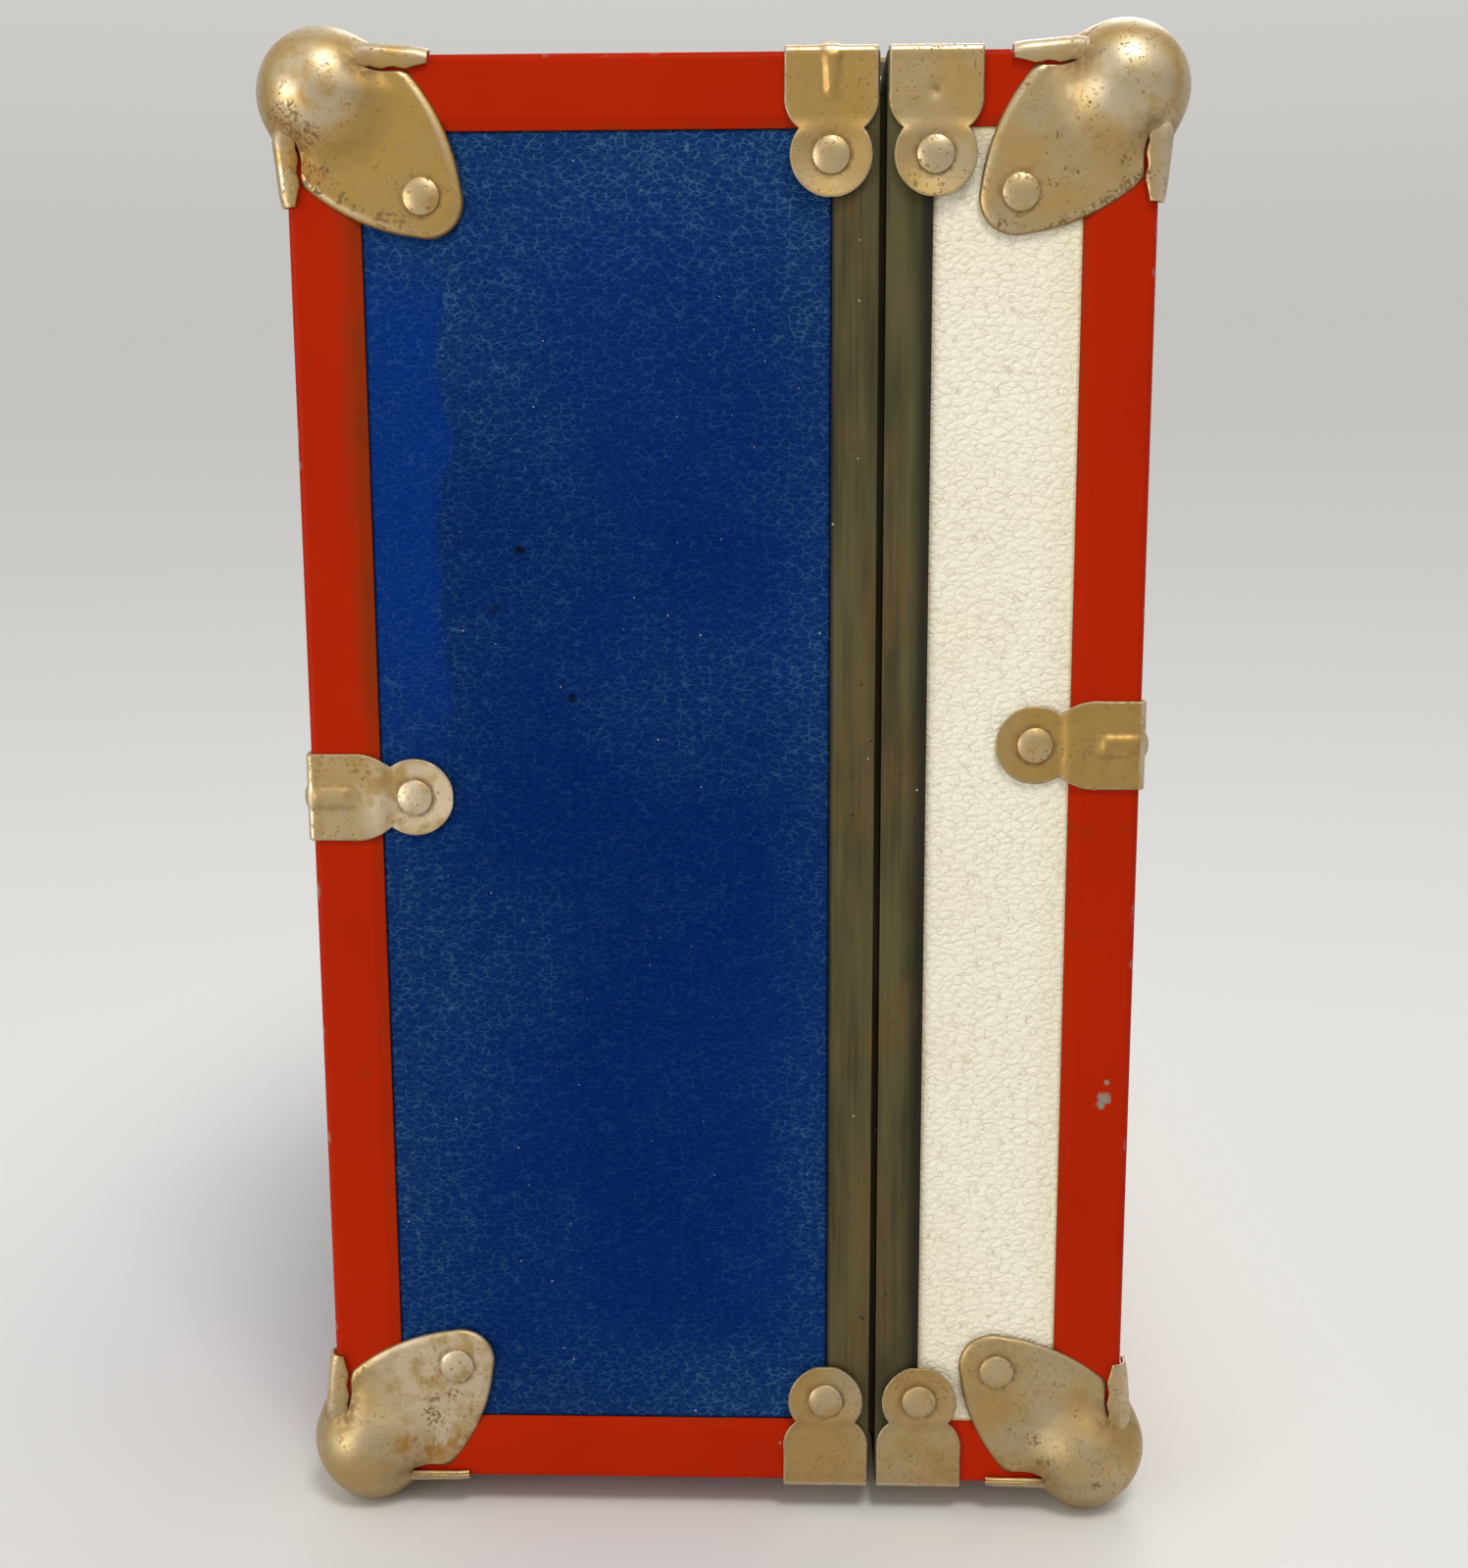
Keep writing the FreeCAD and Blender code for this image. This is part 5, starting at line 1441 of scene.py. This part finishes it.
class Walls:
    """Plywood boards with their vinyl skins and paper linings."""

    def build(self) -> None:
        """Dress the boards, skins and linings."""
        boards = [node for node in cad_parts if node.endswith("_board")]
        dress(Plywood().material(), *boards)
        dress(BlueVinyl().material(), "body_vinyl")
        dress(CreamVinyl().material(), "lid_vinyl")
        dress(LiningPaper().material(), "body_lining", "lid_lining")


class Trim:
    """Enamelled edge bindings, and the bare seam strips with their tongue."""

    def build(self) -> None:
        """Dress the strips."""
        bindings = [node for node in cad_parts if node.endswith("_bindings")]
        dress(RedEnamel().material(), *bindings)
        dress(SeamSteel().material(), "body_valance", "lid_valance", "body_tongue")


class Fittings:
    """Small rivets, hinges, latches with their springs, and the handle with its grip."""

    def build(self) -> None:
        """Dress the fittings and make the springs and the grip."""
        small = NickelPlate("small_rivet_nickel", tarnish_share=0.45, rust_share=0.7, soften=0.2)
        dress(small.material(), "body_small_rivets", "lid_small_rivets")
        words = ("hinge", "hasp", "lock_plates", "lock_case", "slide", "bracket", "pins", "handle_ends")
        fitted = [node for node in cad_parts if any(word in node for word in words)]
        plate = NickelPlate("fitting_nickel", tarnish_share=0.35, rust_share=0.3, soften=0.35)
        dress(plate.material(), *fitted)
        LockSprings().build(SpringSteel().material())
        Grip().build(MouldedPlastic().material())


@dataclass(frozen=True)
class Studio:
    """Camera at the photograph's view, soft lights, and pale surroundings that the floor fades into."""

    eye: Triple = (15.7, -591.6, 243.8)
    pitch: float = -10.15
    yaw: float = 1.80
    roll: float = 0.22
    focal_pixels: float = 2000.0
    long_side: float = 1600.0
    sensor: float = 36.0
    fill: float = 0.60
    fill_colour: Colour = (1.0, 0.99, 0.97)
    sky: Colour = (1.0, 1.0, 0.99)
    ground: Colour = (0.780, 0.765, 0.740)
    horizon: Colour = (0.540, 0.530, 0.510)
    floor_colour: Colour = (0.800, 0.792, 0.776)
    floor_reach: float = 600.0
    floor_drop: float = 0.06
    floor_sides: int = 64
    floor_fade: tuple[float, float] = (15.0, 260.0)
    lid_side_haste: float = 2.4
    lamps: tuple[tuple[str, Triple, float, float, Colour], ...] = (
        ("key", (0.25, -0.95, 1.45), 0.40, 9.0, (1.0, 0.98, 0.95)),
        ("fill", (-1.5, -1.3, 0.25), 1.0, 13.0, (0.98, 0.98, 1.0)),
        ("back", (0.3, 1.3, 1.3), 1.0, 10.0, (1.0, 1.0, 1.0)))

    def camera(self) -> None:
        """Set the camera up."""
        data = bpy.data.cameras.new("camera")
        data.sensor_width = self.sensor
        data.lens = self.focal_pixels / self.long_side * self.sensor
        data.clip_start = 0.01
        camera = bpy.data.objects.new("camera", data)
        camera.location = Vector(self.eye) * MM
        camera.rotation_euler = Euler([math.radians(a) for a in (90 + self.pitch, self.roll, self.yaw)])
        bpy.context.scene.collection.objects.link(camera)
        bpy.context.scene.camera = camera

    def lamp(self, name: str, place: Sequence[float], size: float, watts: float, warm: Colour) -> None:
        """Add a square soft light that faces the middle of the case."""
        data = bpy.data.lights.new(name, "AREA")
        data.size = size
        data.energy = watts
        data.color = warm
        lamp = bpy.data.objects.new(name, data)
        lamp.location = place
        aim = CASE.centre() * MM - Vector(place)
        lamp.rotation_euler = aim.to_track_quat("-Z", "Y").to_euler()
        bpy.context.scene.collection.objects.link(lamp)

    def world(self) -> None:
        """Pale surroundings for what is seen and mirrored, and an even fill light."""
        world = bpy.data.worlds.new("studio")
        world.use_nodes = True
        bpy.context.scene.world = world
        g = Graph(world.node_tree)
        direction = g.add("ShaderNodeTexCoord", "Generated", {}, {})
        height = g.split(direction)[2]
        low = g.mix(height.over(-0.32, 0.08), self.ground, self.horizon)
        pale = g.mix(height.over(0.0, 0.75), low, self.sky)
        path = [g.add("ShaderNodeLightPath", name, {}, {})
                for name in ("Is Camera Ray", "Is Glossy Ray", "Is Transmission Ray")]
        shown = path[0].at_least(path[1]).at_least(path[2])
        seen = g.add("ShaderNodeBackground", 0, {}, {"Color": pale, "Strength": 1.0})
        even = {"Color": (*self.fill_colour, 1.0), "Strength": self.fill}
        light = g.add("ShaderNodeBackground", 0, {}, even)
        mixed = g.add("ShaderNodeMixShader", 0, {}, {0: shown, 1: light, 2: seen})
        output = g.tree.nodes.new("ShaderNodeOutputWorld")
        g.tree.links.new(mixed.socket, output.inputs["Surface"])

    def floor(self) -> None:
        """Pale floor round the case's foot, which takes its shadow and fades into the pale surroundings."""
        mesh = bpy.data.meshes.new("floor")
        turn = np.arange(self.floor_sides) * math.tau / self.floor_sides
        level = np.full(self.floor_sides, -self.floor_drop)
        ring = np.column_stack([np.cos(turn) * self.floor_reach, np.sin(turn) * self.floor_reach, level])
        mesh.from_pydata((ring * MM).tolist(), [], [list(range(self.floor_sides))])
        floor = bpy.data.objects.new("floor", mesh)
        g = Surface("floor_pale")
        x, y, _ = g.axes()
        half = CASE.half()
        past_x = (x - half.x).at_least(0.0) * self.lid_side_haste + (-half.x - x).at_least(0.0)
        past_y = (abs(y) - half.y).at_least(0.0)
        away = g.math("SQRT", past_x * past_x + past_y * past_y)
        faded = 1 - away.over(*self.floor_fade)
        mesh.materials.append(g.close({"Base Color": self.floor_colour, "Roughness": 1.0,
                                       "Specular IOR Level": 0.0, "Alpha": faded}))
        bpy.context.scene.collection.objects.link(floor)

    def build(self) -> None:
        """Set the scene round the case."""
        bpy.context.scene.view_settings.view_transform = "Standard"
        self.camera()
        self.world()
        self.floor()
        for lamp in self.lamps:
            self.lamp(*lamp)


def main() -> None:
    """Dress the whole case and set the studio."""
    logging.basicConfig(level=logging.INFO, format="%(name)s: %(message)s")
    Walls().build()
    Trim().build()
    BallCorners().build(NickelPlate("corner_nickel", tarnish_share=0.55, rust_share=0.75,
                                    stains=CORNER_STAINS, blooms=CORNER_BLOOMS).material())
    clamps = ClampSets()
    clamps.build(NickelPlate("clamp_nickel", tarnish_share=0.60, rust_share=0.9).material())
    Rivets().build(NickelPlate("rivet_nickel", tarnish_share=0.62, rust_share=0.9).material(), clamps)
    Fittings().build()
    Studio().build()


if __name__ == "__main__":
    main()
